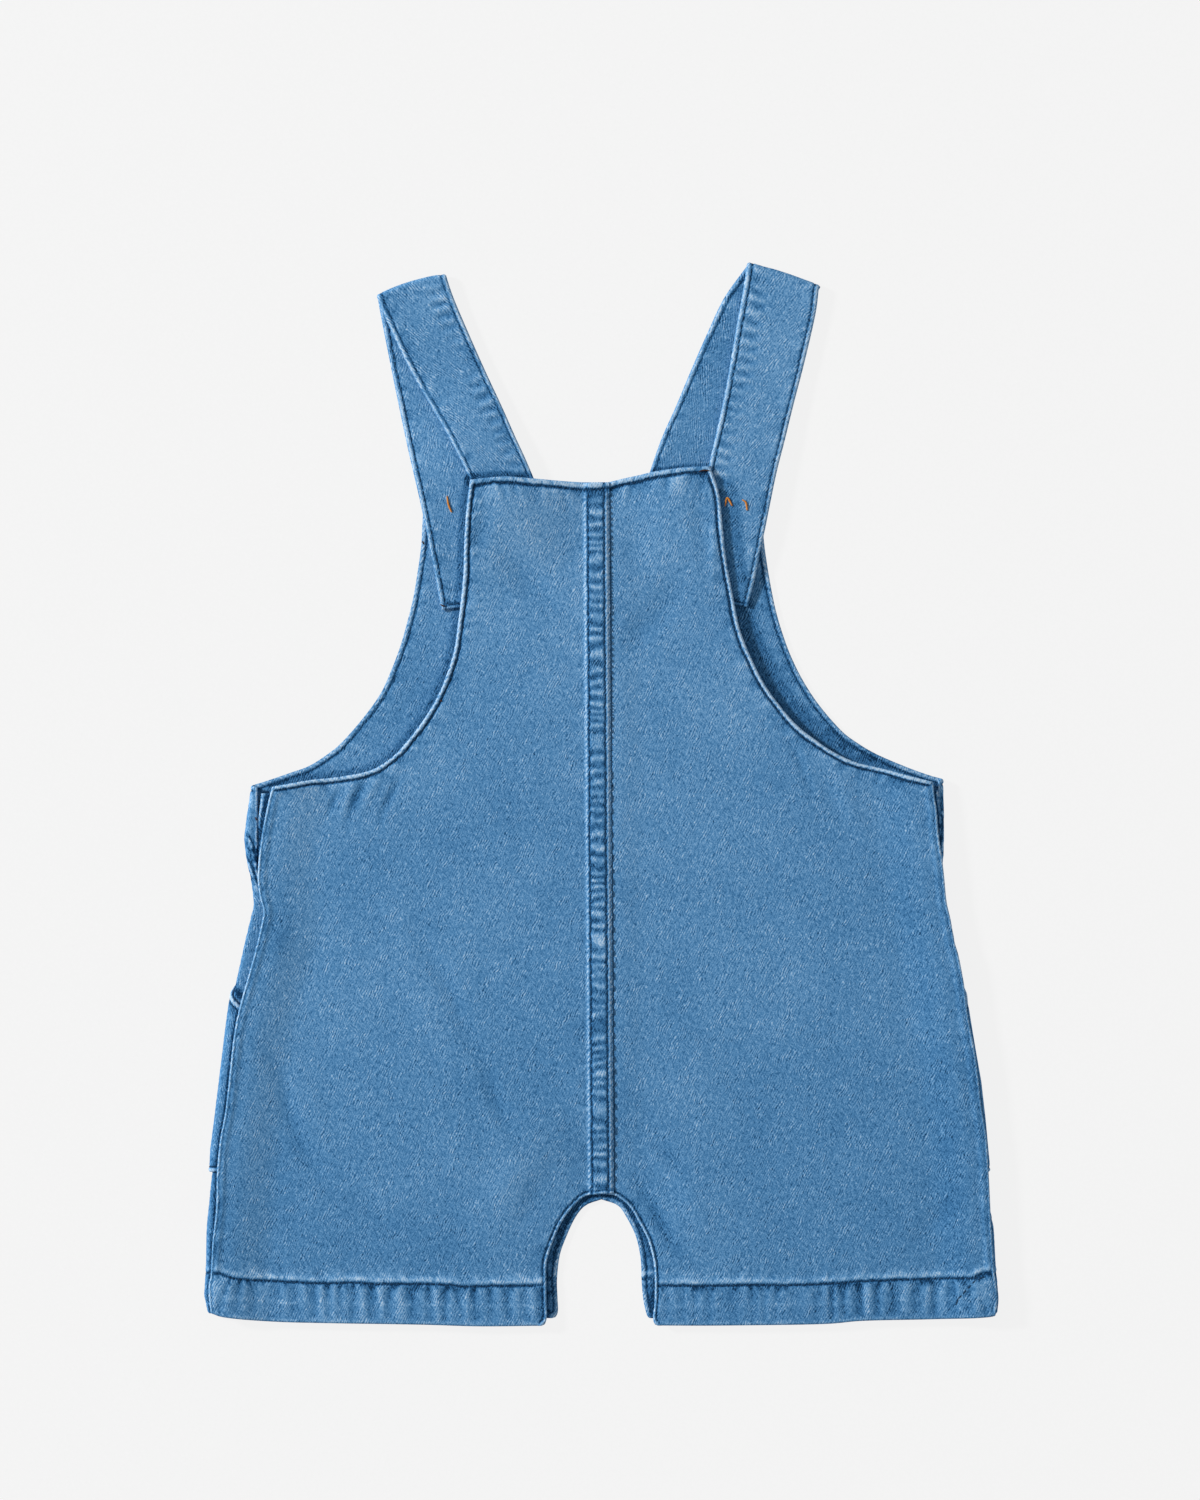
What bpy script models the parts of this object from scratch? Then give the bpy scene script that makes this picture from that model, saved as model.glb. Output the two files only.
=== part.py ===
"""A small child's denim dungarees, laid flat on a table with the back side up.

Millimetres are used up to the last step, where MM turns them into metres. Each panel is
a loft of sections. A section's ends are given by "out", the distance from the centre
line, and "up", the height above the leg hems. X runs across, Y towards the straps, +Z
up from the table.
"""
import math

import bpy
import bmesh

MM = 0.001

# The whole garment
LENGTH = 447.5            # leg hems to the tops of the folded straps
MIDDLE_UP = LENGTH / 2.0  # this height lies on Y = 0

# The cloth
WALL = 1.0                # one layer of denim
EDGE_WALL = 1.4           # narrow turned edge at bib, armholes and sides
HEM_WALL = 1.6            # leg hem, three layers
CURL_WALL = 1.3           # leg hem where it curls round the side fold
STRAP_WALL = 1.4          # strap, two layers
EDGE_DEPTH = 2.8          # width of the narrow turned edges
HEM_DEPTH = 18.5          # width of the leg hems
HEM_RAMP_START = 4.0      # the hem thickens from this height above its depth
HEM_RAMP = 3.0            # over this run
GAP = 0.3                 # clearance between pieces
SEAM_OUT = GAP / 2.0      # the two front panels meet at the centre line
TOLERANCE = 0.01
EDGE_SWELL = 0.2          # turned edges stand this much proud
HEM_SWELL = 0.4           # and the hems of the back this much

# Heights over the table
BACK_REST = 4.4           # top of the back panels in their middle
FOLD_HEIGHT = 4.6         # the front's side fold, outside, above the pockets
FOLD_HEIGHT_LOW = 5.2     # the same beside the pockets and down to the hem
POCKET_LIFT = WALL + GAP  # the front panel rides this much higher over a pocket
FOLD_TURN_STEPS = 5       # facets round the side fold
FOLD_CHANGE_UP = 176.0    # the fold grows taller below this height
FOLD_CHANGE_RUN = 24.0    # over this run
FOLD_EASE_START = 12.0    # the front panel meets its fold from this distance inside it
FOLD_EASE_RUN = 10.0      # over this run

# The lapped centre-back seam: the left back panel lies over the right one
LAP_TOP_X = 3.2           # edge of the lap at the bib top
LAP_FOOT_X = 5.2          # and at the crotch
LAP_FOOT_UP = 55.8
LAP_TOP_UP = 354.7
LAP_WIDTH = 8.6           # raised part of the lap
LAP_RAMP = 1.9            # the step down beside it
UNDERLAP = 8.0            # how far the right panel reaches in under the lap
TURNED_SECTIONS = 2       # sections of a back panel that lie in the turned top edge
UNDERARM_SECTION = 16     # the section that ends at the underarm corner

# Where the loft's points stand along a section: at the seam, the arch and the side
LAP_STEPS = (0.0, 2.4, LAP_WIDTH, LAP_WIDTH + LAP_RAMP)
UNDERLAP_STEPS = (0.0, 3.0, 10.0, 13.0)
ARCH_STEPS = (0.0, 3.0)
SIDE_STEPS = (18.0, 8.0, EDGE_DEPTH, 0.0)
FRONT_STEPS = (9.0, EDGE_DEPTH, 0.0)
PANEL_COLUMNS = 6         # even columns between those steps
POCKET_COLUMNS = 4

# Side openings: above these heights the front's strip ends beside the back, not under it
OPENING = {
    "left": {"foot_up": 189.0, "edge_out": 144.5},
    "right": {"foot_up": 206.0, "edge_out": 142.4},
}
OPENING_EASE_START = 6.0  # the strip comes out from this height below the opening's foot
OPENING_EASE_RUN = 8.0    # over this run
SEAM_TUCK = 4.0           # the front's strip reaches this far in under the back's side edge
POCKET_TUCK = 1.5         # and the pocket's this far
SIDE_FLAT = 7.0           # level shelf of the back along its side edges
SIDE_REACH = 26.0         # beyond this distance from the side edge the back lies at rest
SHELF_FADE_START = 16.0   # the shelf is gone at this height above the underarm
SHELF_FADE_RUN = 14.0     # and full this much lower

# Strap buttons on the outside of the bib
BUTTON_THICKNESS = 1.8
BUTTON_PROFILE = (        # radius, height; the dished face is underneath
    (0.0, BUTTON_THICKNESS), (6.3, BUTTON_THICKNESS), (7.5, 1.2), (7.5, 0.5),
    (7.0, 0.0), (5.9, 0.0), (5.1, 0.5), (0.0, 0.5),
)
BUTTON_FACETS = 20
BUTTON_OUT = {"left": 60.7, "right": 56.5}
BUTTON_UP = 345.2
HOLE_RADIUS = 0.9
HOLE_SPACING = 4.4
HOLE_FACETS = 8
BIB_LIFT = BUTTON_THICKNESS + GAP
BIB_LIFT_CORE = 13.0      # the bib is raised fully this far round a button
BIB_LIFT_REACH = 34.0     # and lies flat beyond this radius

SIDE_SIGN = {"left": -1.0, "right": 1.0}

# Soft rises and hollows of the back panels: x, up, core radius, outer radius, height
BACK_HILLS = {
    "left_strap_root": (-50.0, 356.0, 8.0, 52.0, 4.4),
    "right_strap_root": (48.0, 347.0, 14.0, 45.0, 2.3),
    "bib_middle": (2.0, 352.0, 10.0, 40.0, 0.4),
    "crotch": (0.5, 55.0, 5.0, 45.0, -2.1),
    "left_inner_leg": (-24.0, 18.0, 4.0, 34.0, -0.6),
    "right_inner_leg": (24.0, 18.0, 4.0, 34.0, -0.6),
}

# Main creases of the back panels: start x, up, end x, up, half width, height
BACK_CREASES = {
    "left_armhole_long": (-93.0, 231.0, -112.0, 212.0, 4.5, 0.5),
    "left_armhole_short": (-101.0, 229.0, -113.0, 221.0, 3.5, -0.4),
    "right_armhole_long": (90.0, 243.0, 100.0, 221.0, 4.5, 0.4),
    "left_side_hollow": (-133.0, 174.0, -136.0, 152.0, 5.0, -0.8),
    "left_seat": (-75.0, 168.0, -34.0, 76.0, 8.0, -0.5),
    "right_seat": (34.0, 78.0, 78.0, 120.0, 9.0, 0.4),
    "left_crotch": (-22.0, 50.0, -44.0, 28.0, 5.0, 0.5),
    "right_crotch": (22.0, 36.0, 42.0, 22.0, 5.0, -0.5),
    "left_leg": (-140.0, 92.0, -108.0, 40.0, 8.0, 0.4),
    "right_leg": (118.0, 30.0, 150.0, 66.0, 8.0, 0.4),
}

# Back panels, sections from the centre-back seam out to the armhole or the side edge:
# seam up, edge out, edge up
BACK_SEAM_SECTIONS = {
    "left": (
        (354.7, 55.2, 355.7),
        (352.0, 55.5, 352.9),
        (343.0, 56.7, 343.1),
        (331.0, 57.4, 330.5),
        (319.0, 58.0, 317.1),
        (308.0, 59.4, 305.3),
        (298.0, 60.4, 294.8),
        (289.0, 62.0, 283.9),
        (281.0, 65.3, 273.4),
        (273.0, 69.5, 263.6),
        (266.0, 75.4, 254.1),
        (259.0, 82.5, 244.9),
        (253.0, 88.8, 238.1),
        (248.0, 97.2, 233.1),
        (243.0, 109.0, 231.2),
        (237.0, 124.0, 229.6),
        (230.0, 138.4, 226.8),
        (221.0, 140.1, 219.7),
        (210.0, 142.2, 209.2),
        (190.0, 144.4, 189.4),
        (177.0, 141.6, 176.4),
        (160.0, 145.5, 157.5),
        (137.0, 152.0, 134.0),
        (113.0, 155.8, 109.6),
        (93.0, 157.7, 92.0),
        (76.0, 160.1, 78.5),
        (64.0, 161.4, 65.5),
        (LAP_FOOT_UP, 161.6, 55.0),
    ),
    "right": (
        (354.7, 46.0, 361.2),
        (352.0, 47.0, 358.5),
        (343.0, 49.4, 349.9),
        (331.0, 51.0, 335.2),
        (319.0, 52.7, 320.9),
        (308.0, 55.7, 304.9),
        (298.0, 58.8, 291.4),
        (289.0, 62.4, 282.2),
        (281.0, 68.7, 269.6),
        (273.0, 77.1, 258.3),
        (266.0, 83.4, 251.6),
        (259.0, 90.1, 246.5),
        (253.0, 96.8, 241.9),
        (248.0, 106.5, 237.3),
        (243.0, 119.9, 234.2),
        (237.0, 130.0, 231.0),
        (230.0, 139.2, 228.9),
        (221.0, 140.0, 220.0),
        (210.0, 141.3, 209.2),
        (190.0, 143.7, 189.4),
        (177.0, 145.3, 176.4),
        (160.0, 148.9, 159.0),
        (137.0, 153.0, 137.0),
        (113.0, 157.2, 111.6),
        (93.0, 159.5, 92.0),
        (76.0, 161.7, 78.5),
        (64.0, 162.4, 65.5),
        (LAP_FOOT_UP, 163.0, 55.0),
    ),
}

# Sections below the crotch, from the arch out to the side edge:
# arch out, arch up, edge out, edge up, bow of the section's middle
BACK_LEG_SECTIONS = {
    "left": (
        (7.8, 54.3, 161.8, 48.0, 0.0),
        (13.2, 48.7, 162.8, 40.0, 0.0),
        (17.6, 42.2, 163.4, 33.0, -0.4),
        (20.8, 34.5, 163.8, 27.0, -0.8),
        (23.2, 25.5, 164.1, 22.5, -1.2),
        (23.0, 18.4, 164.6, 19.8, -1.3),
        (23.0, 10.0, 164.8, 12.5, -1.8),
        (22.9, 0.6, 164.0, 5.9, -2.6),
    ),
    "right": (
        (6.8, 54.4, 163.2, 48.0, 0.0),
        (12.0, 50.0, 163.8, 40.0, 0.0),
        (15.8, 43.5, 164.2, 33.0, 0.0),
        (19.7, 35.8, 164.6, 27.0, -0.2),
        (22.0, 26.5, 165.0, 23.0, -0.4),
        (22.5, 17.6, 165.4, 20.5, -0.5),
        (22.0, 9.0, 166.2, 12.5, -1.4),
        (21.6, 0.5, 165.6, 6.2, -2.6),
    ),
}

# Front panels above the underarm, flat on the table, from the centre-front seam:
# seam up, edge out, edge up
FRONT_BIB_SECTIONS = {
    "left": (
        (352.4, 73.3, 352.4),
        (342.0, 75.0, 341.5),
        (330.0, 75.8, 328.4),
        (319.0, 77.5, 316.3),
        (309.5, 79.2, 306.2),
        (300.5, 81.7, 296.1),
        (291.5, 84.6, 286.0),
        (282.5, 88.4, 275.9),
        (274.0, 93.0, 265.9),
        (266.0, 100.2, 255.8),
        (258.0, 109.0, 245.7),
        (253.0, 114.9, 240.7),
        (247.0, 122.9, 235.6),
        (243.0, 130.8, 232.7),
        (239.0, 138.6, 230.4),
    ),
    "right": (
        (352.4, 65.7, 352.4),
        (342.0, 67.4, 341.5),
        (331.5, 68.3, 330.1),
        (323.0, 69.5, 321.3),
        (314.0, 71.2, 311.2),
        (305.0, 73.3, 301.1),
        (296.0, 76.2, 291.1),
        (287.0, 80.0, 281.0),
        (278.5, 85.1, 270.9),
        (270.0, 91.8, 260.8),
        (262.0, 100.6, 250.7),
        (257.0, 106.9, 245.7),
        (252.0, 115.3, 240.7),
        (247.0, 127.0, 235.9),
        (242.5, 135.9, 232.7),
    ),
}

# Front panels from the underarm down: seam or arch out, up, side fold out, up
FRONT_SIDE_SECTIONS = {
    "left": (
        (SEAM_OUT, 234.0, 147.6, 226.8),
        (SEAM_OUT, 222.0, 149.3, 216.0),
        (SEAM_OUT, 209.0, 150.6, 205.0),
        (SEAM_OUT, 193.0, 149.0, 190.0),
        (SEAM_OUT, 178.0, 147.8, 177.0),
        (SEAM_OUT, 165.0, 151.0, 164.0),
        (SEAM_OUT, 144.0, 155.2, 145.0),
        (SEAM_OUT, 133.0, 157.3, 134.8),
        (SEAM_OUT, 117.0, 159.2, 120.0),
        (SEAM_OUT, 101.0, 161.1, 104.6),
        (SEAM_OUT, 85.0, 163.0, 89.0),
        (SEAM_OUT, 70.0, 164.9, 74.3),
        (SEAM_OUT, 60.0, 165.4, 64.3),
        (SEAM_OUT, 53.2, 166.3, 56.0),
        (6.7, 50.6, 166.5, 48.0),
        (11.1, 45.4, 166.5, 40.0),
        (15.0, 37.0, 166.6, 32.5),
        (17.6, 29.4, 166.7, 25.5),
        (18.7, 19.7, 167.0, 19.5),
        (18.5, 12.0, 167.4, 13.0),
        (18.3, 5.0, 165.8, 5.6),
    ),
    "right": (
        (SEAM_OUT, 236.0, 143.9, 229.7),
        (SEAM_OUT, 224.0, 144.3, 218.0),
        (SEAM_OUT, 209.0, 144.3, 205.0),
        (SEAM_OUT, 193.0, 144.2, 189.0),
        (SEAM_OUT, 178.0, 147.0, 176.0),
        (SEAM_OUT, 165.0, 149.9, 163.5),
        (SEAM_OUT, 144.0, 152.8, 145.0),
        (SEAM_OUT, 133.0, 154.6, 134.8),
        (SEAM_OUT, 117.0, 157.4, 118.0),
        (SEAM_OUT, 101.0, 160.2, 102.0),
        (SEAM_OUT, 85.0, 162.0, 86.0),
        (SEAM_OUT, 70.0, 163.4, 69.3),
        (SEAM_OUT, 60.0, 163.9, 58.0),
        (SEAM_OUT, 53.2, 164.6, 49.0),
        (6.9, 50.6, 165.3, 42.0),
        (10.7, 45.4, 165.6, 36.0),
        (14.5, 37.5, 165.9, 29.5),
        (16.5, 28.0, 166.2, 24.5),
        (16.7, 18.5, 166.6, 19.5),
        (17.6, 11.0, 167.4, 11.0),
        (18.8, 5.0, 166.6, 5.2),
    ),
}

# Pockets: rows of the open part above the mouth's foot, inner out, up, mouth out, up
POCKET_MOUTH_SECTIONS = (
    (72.0, 170.0, 108.0, 170.0),
    (71.0, 160.0, 128.0, 161.0),
    (70.5, 150.5, 146.0, 150.5),
)
# and of the part that goes round the side fold, inner out, up, fold up, seam up
POCKET_SIDE_SECTIONS = (
    (70.0, 141.0, 140.5, 134.0),
    (70.0, 131.0, 130.5, 127.0),
    (70.0, 118.0, 118.5, 117.0),
    (70.0, 104.0, 104.5, 104.0),
    (70.0, 91.0, 91.5, 91.0),
    (70.0, 78.0, 78.5, 78.0),
    (70.0, 65.5, 65.5, 65.0),
)
# The front panel is lifted over the pocket: full lift inside, none outside these limits
LIFT_OUT = (40.0, 58.0)
LIFT_FOOT = (38.0, 57.0)
LIFT_TOP = (200.0, 182.0)

# Straps, sections along the ribbon from its front end over the shoulder fold to its back
# end: left x, up, middle height, right x, up, middle height
STRAP_FRONT_SECTIONS = {
    "left": (
        (-67.4, 301.1, 2.2, -39.3, 304.5, 2.1),
        (-69.0, 310.0, 2.6, -41.0, 313.5, 2.5),
        (-70.4, 318.4, 3.3, -42.7, 322.3, 3.1),
        (-72.2, 327.0, 4.1, -44.3, 331.0, 3.7),
        (-73.9, 336.0, 4.4, -46.0, 340.0, 4.0),
        (-76.5, 348.0, 4.5, -48.5, 353.0, 4.1),
        (-78.6, 357.0, 4.2, -50.4, 363.0, 4.0),
        (-81.4, 369.0, 2.9, -52.5, 374.0, 3.1),
        (-84.6, 384.0, 1.5, -55.2, 388.0, 1.6),
        (-87.7, 399.0, 0.9, -58.0, 402.5, 0.9),
        (-90.9, 415.0, 0.7, -61.1, 419.0, 0.7),
        (-93.2, 427.0, 0.7, -63.6, 432.5, 0.7),
    ),
    "right": (
        (33.4, 307.0, 2.1, 61.5, 302.4, 2.2),
        (35.3, 316.0, 2.6, 63.4, 309.5, 2.6),
        (37.2, 325.0, 3.3, 65.2, 317.5, 3.3),
        (38.9, 333.5, 3.8, 66.7, 326.0, 4.0),
        (40.6, 341.5, 4.1, 68.6, 334.5, 4.3),
        (42.9, 352.0, 4.3, 70.9, 346.0, 4.4),
        (45.2, 362.5, 4.4, 73.6, 359.0, 4.2),
        (48.1, 375.1, 4.2, 76.9, 372.0, 3.8),
        (51.2, 389.0, 3.5, 80.6, 387.0, 3.3),
        (53.9, 403.5, 3.1, 84.5, 402.0, 3.0),
        (56.4, 418.5, 3.0, 88.0, 416.5, 3.0),
        (59.3, 434.5, 3.1, 90.3, 427.5, 3.1),
    ),
}
STRAP_BACK_SECTIONS = {
    "left": (
        (-89.9, 421.6, 3.1, -61.9, 431.6, 3.1),
        (-81.1, 403.2, 2.9, -54.9, 415.2, 2.9),
        (-72.6, 388.3, 3.4, -48.4, 400.6, 3.0),
        (-65.0, 375.3, 5.0, -41.7, 386.2, 3.4),
        (-58.8, 363.4, 6.2, -36.3, 374.0, 4.0),
        (-55.6, 356.6, 6.5, -32.6, 366.0, 4.3),
        (-54.0, 352.8, 6.5, -29.4, 358.6, 4.4),
        (-52.6, 349.2, 6.5, -27.0, 352.6, 4.4),
    ),
    "right": (
        (51.6, 432.4, 0.7, 80.0, 419.5, 0.7),
        (44.4, 417.3, 0.7, 71.2, 405.0, 0.7),
        (37.8, 402.3, 0.8, 62.7, 391.5, 0.8),
        (31.4, 387.0, 1.3, 54.8, 379.0, 1.3),
        (25.6, 374.0, 2.5, 48.6, 369.0, 1.9),
        (21.2, 361.7, 3.5, 43.8, 361.6, 2.3),
        (18.9, 354.2, 3.7, 42.6, 356.6, 2.4),
    ),
}
# Shoulder fold lines, at the outside of the bend: left x, up, right x, up
STRAP_FOLD = {
    "left": (-94.6, 433.6, -65.5, 442.3),
    "right": (61.6, LENGTH, 91.9, 437.6),
}
STRAP_FOLD_HEIGHTS = {"left": (0.7, 3.3), "right": (3.3, 0.7)}
STRAP_FOLD_STEPS = 4
STRAP_PARTS = (0.0, 0.1, 0.5, 0.9, 1.0)  # columns across the ribbon

# Button stands of the side openings: inner out, outer out, up (outer edge beside the front)
PLACKET_SECTIONS = {
    "left": ((132.0, 143.0, 224.0), (133.0, 144.1, 214.0), (134.0, 144.1, 203.0),
             (135.0, 144.1, 192.0)),
    "right": ((132.0, 140.6, 225.5), (132.5, 141.0, 219.0), (133.0, 141.0, 213.0),
              (134.0, 140.9, 207.5)),
}
PLACKET_TOP = 4.5

# Colours, linear, of the washed denim and of the buttons
DENIM_BLUE = (0.088, 0.222, 0.414, 1.0)
DENIM_INSIDE = (0.150, 0.270, 0.430, 1.0)
BUTTON_BROWN = (0.230, 0.115, 0.045, 1.0)


def smooth(amount):
    """Ease from 0 to 1."""
    amount = min(max(amount, 0.0), 1.0)
    return amount * amount * (3.0 - 2.0 * amount)


def mix(start, end, amount):
    return start + (end - start) * amount


def hill(x, up, place):
    """A round rise, level inside its core and gone at its outer radius."""
    centre_x, centre_up, core, reach, height = place
    distance = math.hypot(x - centre_x, up - centre_up)
    return height * smooth((reach - distance) / (reach - core))


def crease(x, up, line):
    """A soft ridge or trough along a straight line, fading towards its ends."""
    start_x, start_up, end_x, end_up, half_width, height = line
    run_x, run_up = end_x - start_x, end_up - start_up
    length = math.hypot(run_x, run_up)
    along = ((x - start_x) * run_x + (up - start_up) * run_up) / length
    aside = ((x - start_x) * run_up - (up - start_up) * run_x) / length
    past_end = max(-along, along - length, 0.0)
    fade = smooth(1.0 - past_end / (2.0 * half_width))
    return height * fade * smooth(1.0 - abs(aside) / (2.0 * half_width))


def back_rest(x, up):
    """Top of the back panels away from their side edges."""
    height = BACK_REST
    height += sum(hill(x, up, place) for place in BACK_HILLS.values())
    height += sum(crease(x, up, line) for line in BACK_CREASES.values())
    return height


def fold_height(up):
    """Height of the front's side fold; it is taller from the pocket mouth down."""
    return mix(FOLD_HEIGHT, FOLD_HEIGHT_LOW, smooth((FOLD_CHANGE_UP - up) / FOLD_CHANGE_RUN))


def pocket_cover(out, up):
    """1 where the front panel lies over its pocket, 0 well outside it."""
    across = smooth((out - LIFT_OUT[0]) / (LIFT_OUT[1] - LIFT_OUT[0]))
    foot = smooth((up - LIFT_FOOT[0]) / (LIFT_FOOT[1] - LIFT_FOOT[0]))
    top = smooth((LIFT_TOP[0] - up) / (LIFT_TOP[0] - LIFT_TOP[1]))
    return across * foot * top


def lap_edge(up):
    """x of the lap's edge, and so of the centre-back seam, at a height."""
    return mix(LAP_FOOT_X, LAP_TOP_X, (up - LAP_FOOT_UP) / (LAP_TOP_UP - LAP_FOOT_UP))


def edge_out_at(sections, up):
    """out of a panel's outer edge at a height, from its (out, up) pairs, top to foot."""
    for (out_a, up_a), (out_b, up_b) in zip(sections, sections[1:]):
        if up_a >= up >= up_b:
            return mix(out_a, out_b, (up_a - up) / (up_a - up_b))
    return sections[-1][0] if up < sections[-1][1] else sections[0][0]


def back_side_edge(side):
    """(out, up) pairs of the back's side edge, from the underarm corner to the hem."""
    pairs = [(out, up) for _, out, up in BACK_SEAM_SECTIONS[side]]
    legs = [(out, up) for _, _, out, up, _ in BACK_LEG_SECTIONS[side]]
    return pairs[UNDERARM_SECTION:] + legs


def linear_metres(x, up, z):
    return (x * MM, (up - MIDDLE_UP) * MM, z * MM)


def loft(name, rows, walls, flip, thickness, centred=False):
    """Open surface through rows of (x, up, z) points; None marks a point left out.

    Solidify then gives it its wall: each point's own thickness comes from walls, as a
    share of the full thickness.
    """
    mesh = bpy.data.meshes.new(name)
    shape = bmesh.new()
    share = shape.verts.layers.deform.verify()
    grid = []
    for row, row_walls in zip(rows, walls):
        line = []
        for point, wall in zip(row, row_walls):
            if point is None:
                line.append(None)
                continue
            vert = shape.verts.new(linear_metres(*point))
            vert[share][0] = wall / thickness
            line.append(vert)
        grid.append(line)
    for upper, lower in zip(grid, grid[1:]):
        for i in range(min(len(upper), len(lower)) - 1):
            corners = [upper[i], lower[i], lower[i + 1], upper[i + 1]]
            if None in corners:
                continue
            shape.faces.new(reversed(corners) if flip else corners)
    shape.to_mesh(mesh)
    shape.free()
    piece = bpy.data.objects.new(name, mesh)
    parts.objects.link(piece)
    group = piece.vertex_groups.new(name="wall")
    solid = piece.modifiers.new("wall", "SOLIDIFY")
    solid.thickness = thickness * MM
    solid.offset = 0.0 if centred else -1.0
    solid.use_even_offset = True
    solid.vertex_group = group.name
    mesh.shade_smooth()
    return piece


def stations(length, start_steps, end_steps, count):
    """Distances along a section: fixed steps at both ends, even ones between."""
    ends = [length - step for step in end_steps]
    first, last = start_steps[-1], ends[0]
    between = [mix(first, last, i / count) for i in range(1, count)]
    return list(start_steps) + between + ends


def section_point(inner, outer, distance, bow=0.0):
    """A point on the line from inner to outer (out, up), bowed in its middle."""
    length = math.hypot(outer[0] - inner[0], outer[1] - inner[1])
    part = distance / length
    lift = 4.0 * bow * part * (1.0 - part)
    return mix(inner[0], outer[0], part), mix(inner[1], outer[1], part) + lift


def hem_share(up):
    """1 inside the leg hem, 0 above it."""
    return smooth((HEM_DEPTH + HEM_RAMP_START - up) / HEM_RAMP)


def build_back(side):
    """A back panel: bib, seat and leg in one."""
    sign = SIDE_SIGN[side]
    side_edge = back_side_edge(side)
    lapped = side == "left"
    sections = []
    for seam_up, edge_out, edge_up in BACK_SEAM_SECTIONS[side]:
        seam_x = lap_edge(seam_up) - (0.0 if lapped else UNDERLAP)
        sections.append(((sign * seam_x, seam_up), (edge_out, edge_up), 0.0, True))
    for arch_out, arch_up, edge_out, edge_up, bow in BACK_LEG_SECTIONS[side]:
        sections.append(((arch_out, arch_up), (edge_out, edge_up), bow, False))
    seam_steps = LAP_STEPS if lapped else UNDERLAP_STEPS
    rows, walls = [], []
    for number, (inner, outer, bow, on_seam) in enumerate(sections):
        length = math.hypot(outer[0] - inner[0], outer[1] - inner[1])
        start_steps = seam_steps if on_seam else ARCH_STEPS
        steps = stations(length, start_steps, SIDE_STEPS, PANEL_COLUMNS)
        left_out = 0 if on_seam else len(seam_steps) - len(ARCH_STEPS)
        row, row_walls = [None] * left_out, [0.0] * left_out
        for distance in steps:
            out, up = section_point(inner, outer, distance, bow)
            x = sign * out
            hem = 0.0 if on_seam else hem_share(up)
            turned = number < TURNED_SECTIONS or distance > length - EDGE_DEPTH - TOLERANCE
            wall = mix(EDGE_WALL if turned else WALL, HEM_WALL, hem)
            edge_gap = edge_out_at(side_edge, up) - out
            beside = smooth((SIDE_REACH - edge_gap) / (SIDE_REACH - SIDE_FLAT))
            beside *= smooth((side_edge[0][1] + SHELF_FADE_START - up) / SHELF_FADE_RUN)
            rest = back_rest(x, up) + HEM_SWELL * hem
            z = mix(rest, fold_height(up) + GAP + EDGE_SWELL + wall, beside)
            if number == 0 or distance > length - TOLERANCE:
                z += EDGE_SWELL
            if lapped and on_seam and distance <= LAP_WIDTH:
                z += wall + GAP + (EDGE_SWELL if number < TURNED_SECTIONS else 0.0)
            row.append((x, up, z))
            row_walls.append(wall)
        rows.append(row)
        walls.append(row_walls)
    return loft("back_" + side, rows, walls, lapped, HEM_WALL)


def fold_path(fold_out, strip_out, height, depth):
    """(out, z) round the side fold for a layer lying depth inside the outermost one."""
    radius = height / 2.0 - depth
    centre = fold_out - height / 2.0
    points = []
    for step in range(FOLD_TURN_STEPS + 1):
        turn = math.radians(-90.0 + 180.0 * step / FOLD_TURN_STEPS)
        points.append((centre + radius * math.cos(turn), height / 2.0 + radius * math.sin(turn)))
    points.append((min(strip_out, centre - GAP), height - depth))
    return points


def strip_out_at(side, up, side_edge):
    """Where the front's strip ends: beside the opening, or tucked under the back."""
    opening = OPENING[side]
    tucked = edge_out_at(side_edge, up) - SEAM_TUCK
    open_share = smooth((up - opening["foot_up"] + OPENING_EASE_START) / OPENING_EASE_RUN)
    return mix(tucked, opening["edge_out"], open_share)


def bib_lift(x, up):
    """Height of the bib's outer face over the strap buttons that it lies on."""
    return max(hill(x, up, (SIDE_SIGN[side] * BUTTON_OUT[side], BUTTON_UP,
                            BIB_LIFT_CORE, BIB_LIFT_REACH, BIB_LIFT))
               for side in ("left", "right"))


def front_rest(x, up):
    """Outer face of the front panels, which is underneath."""
    return bib_lift(x, up) + POCKET_LIFT * pocket_cover(abs(x), up)


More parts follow.
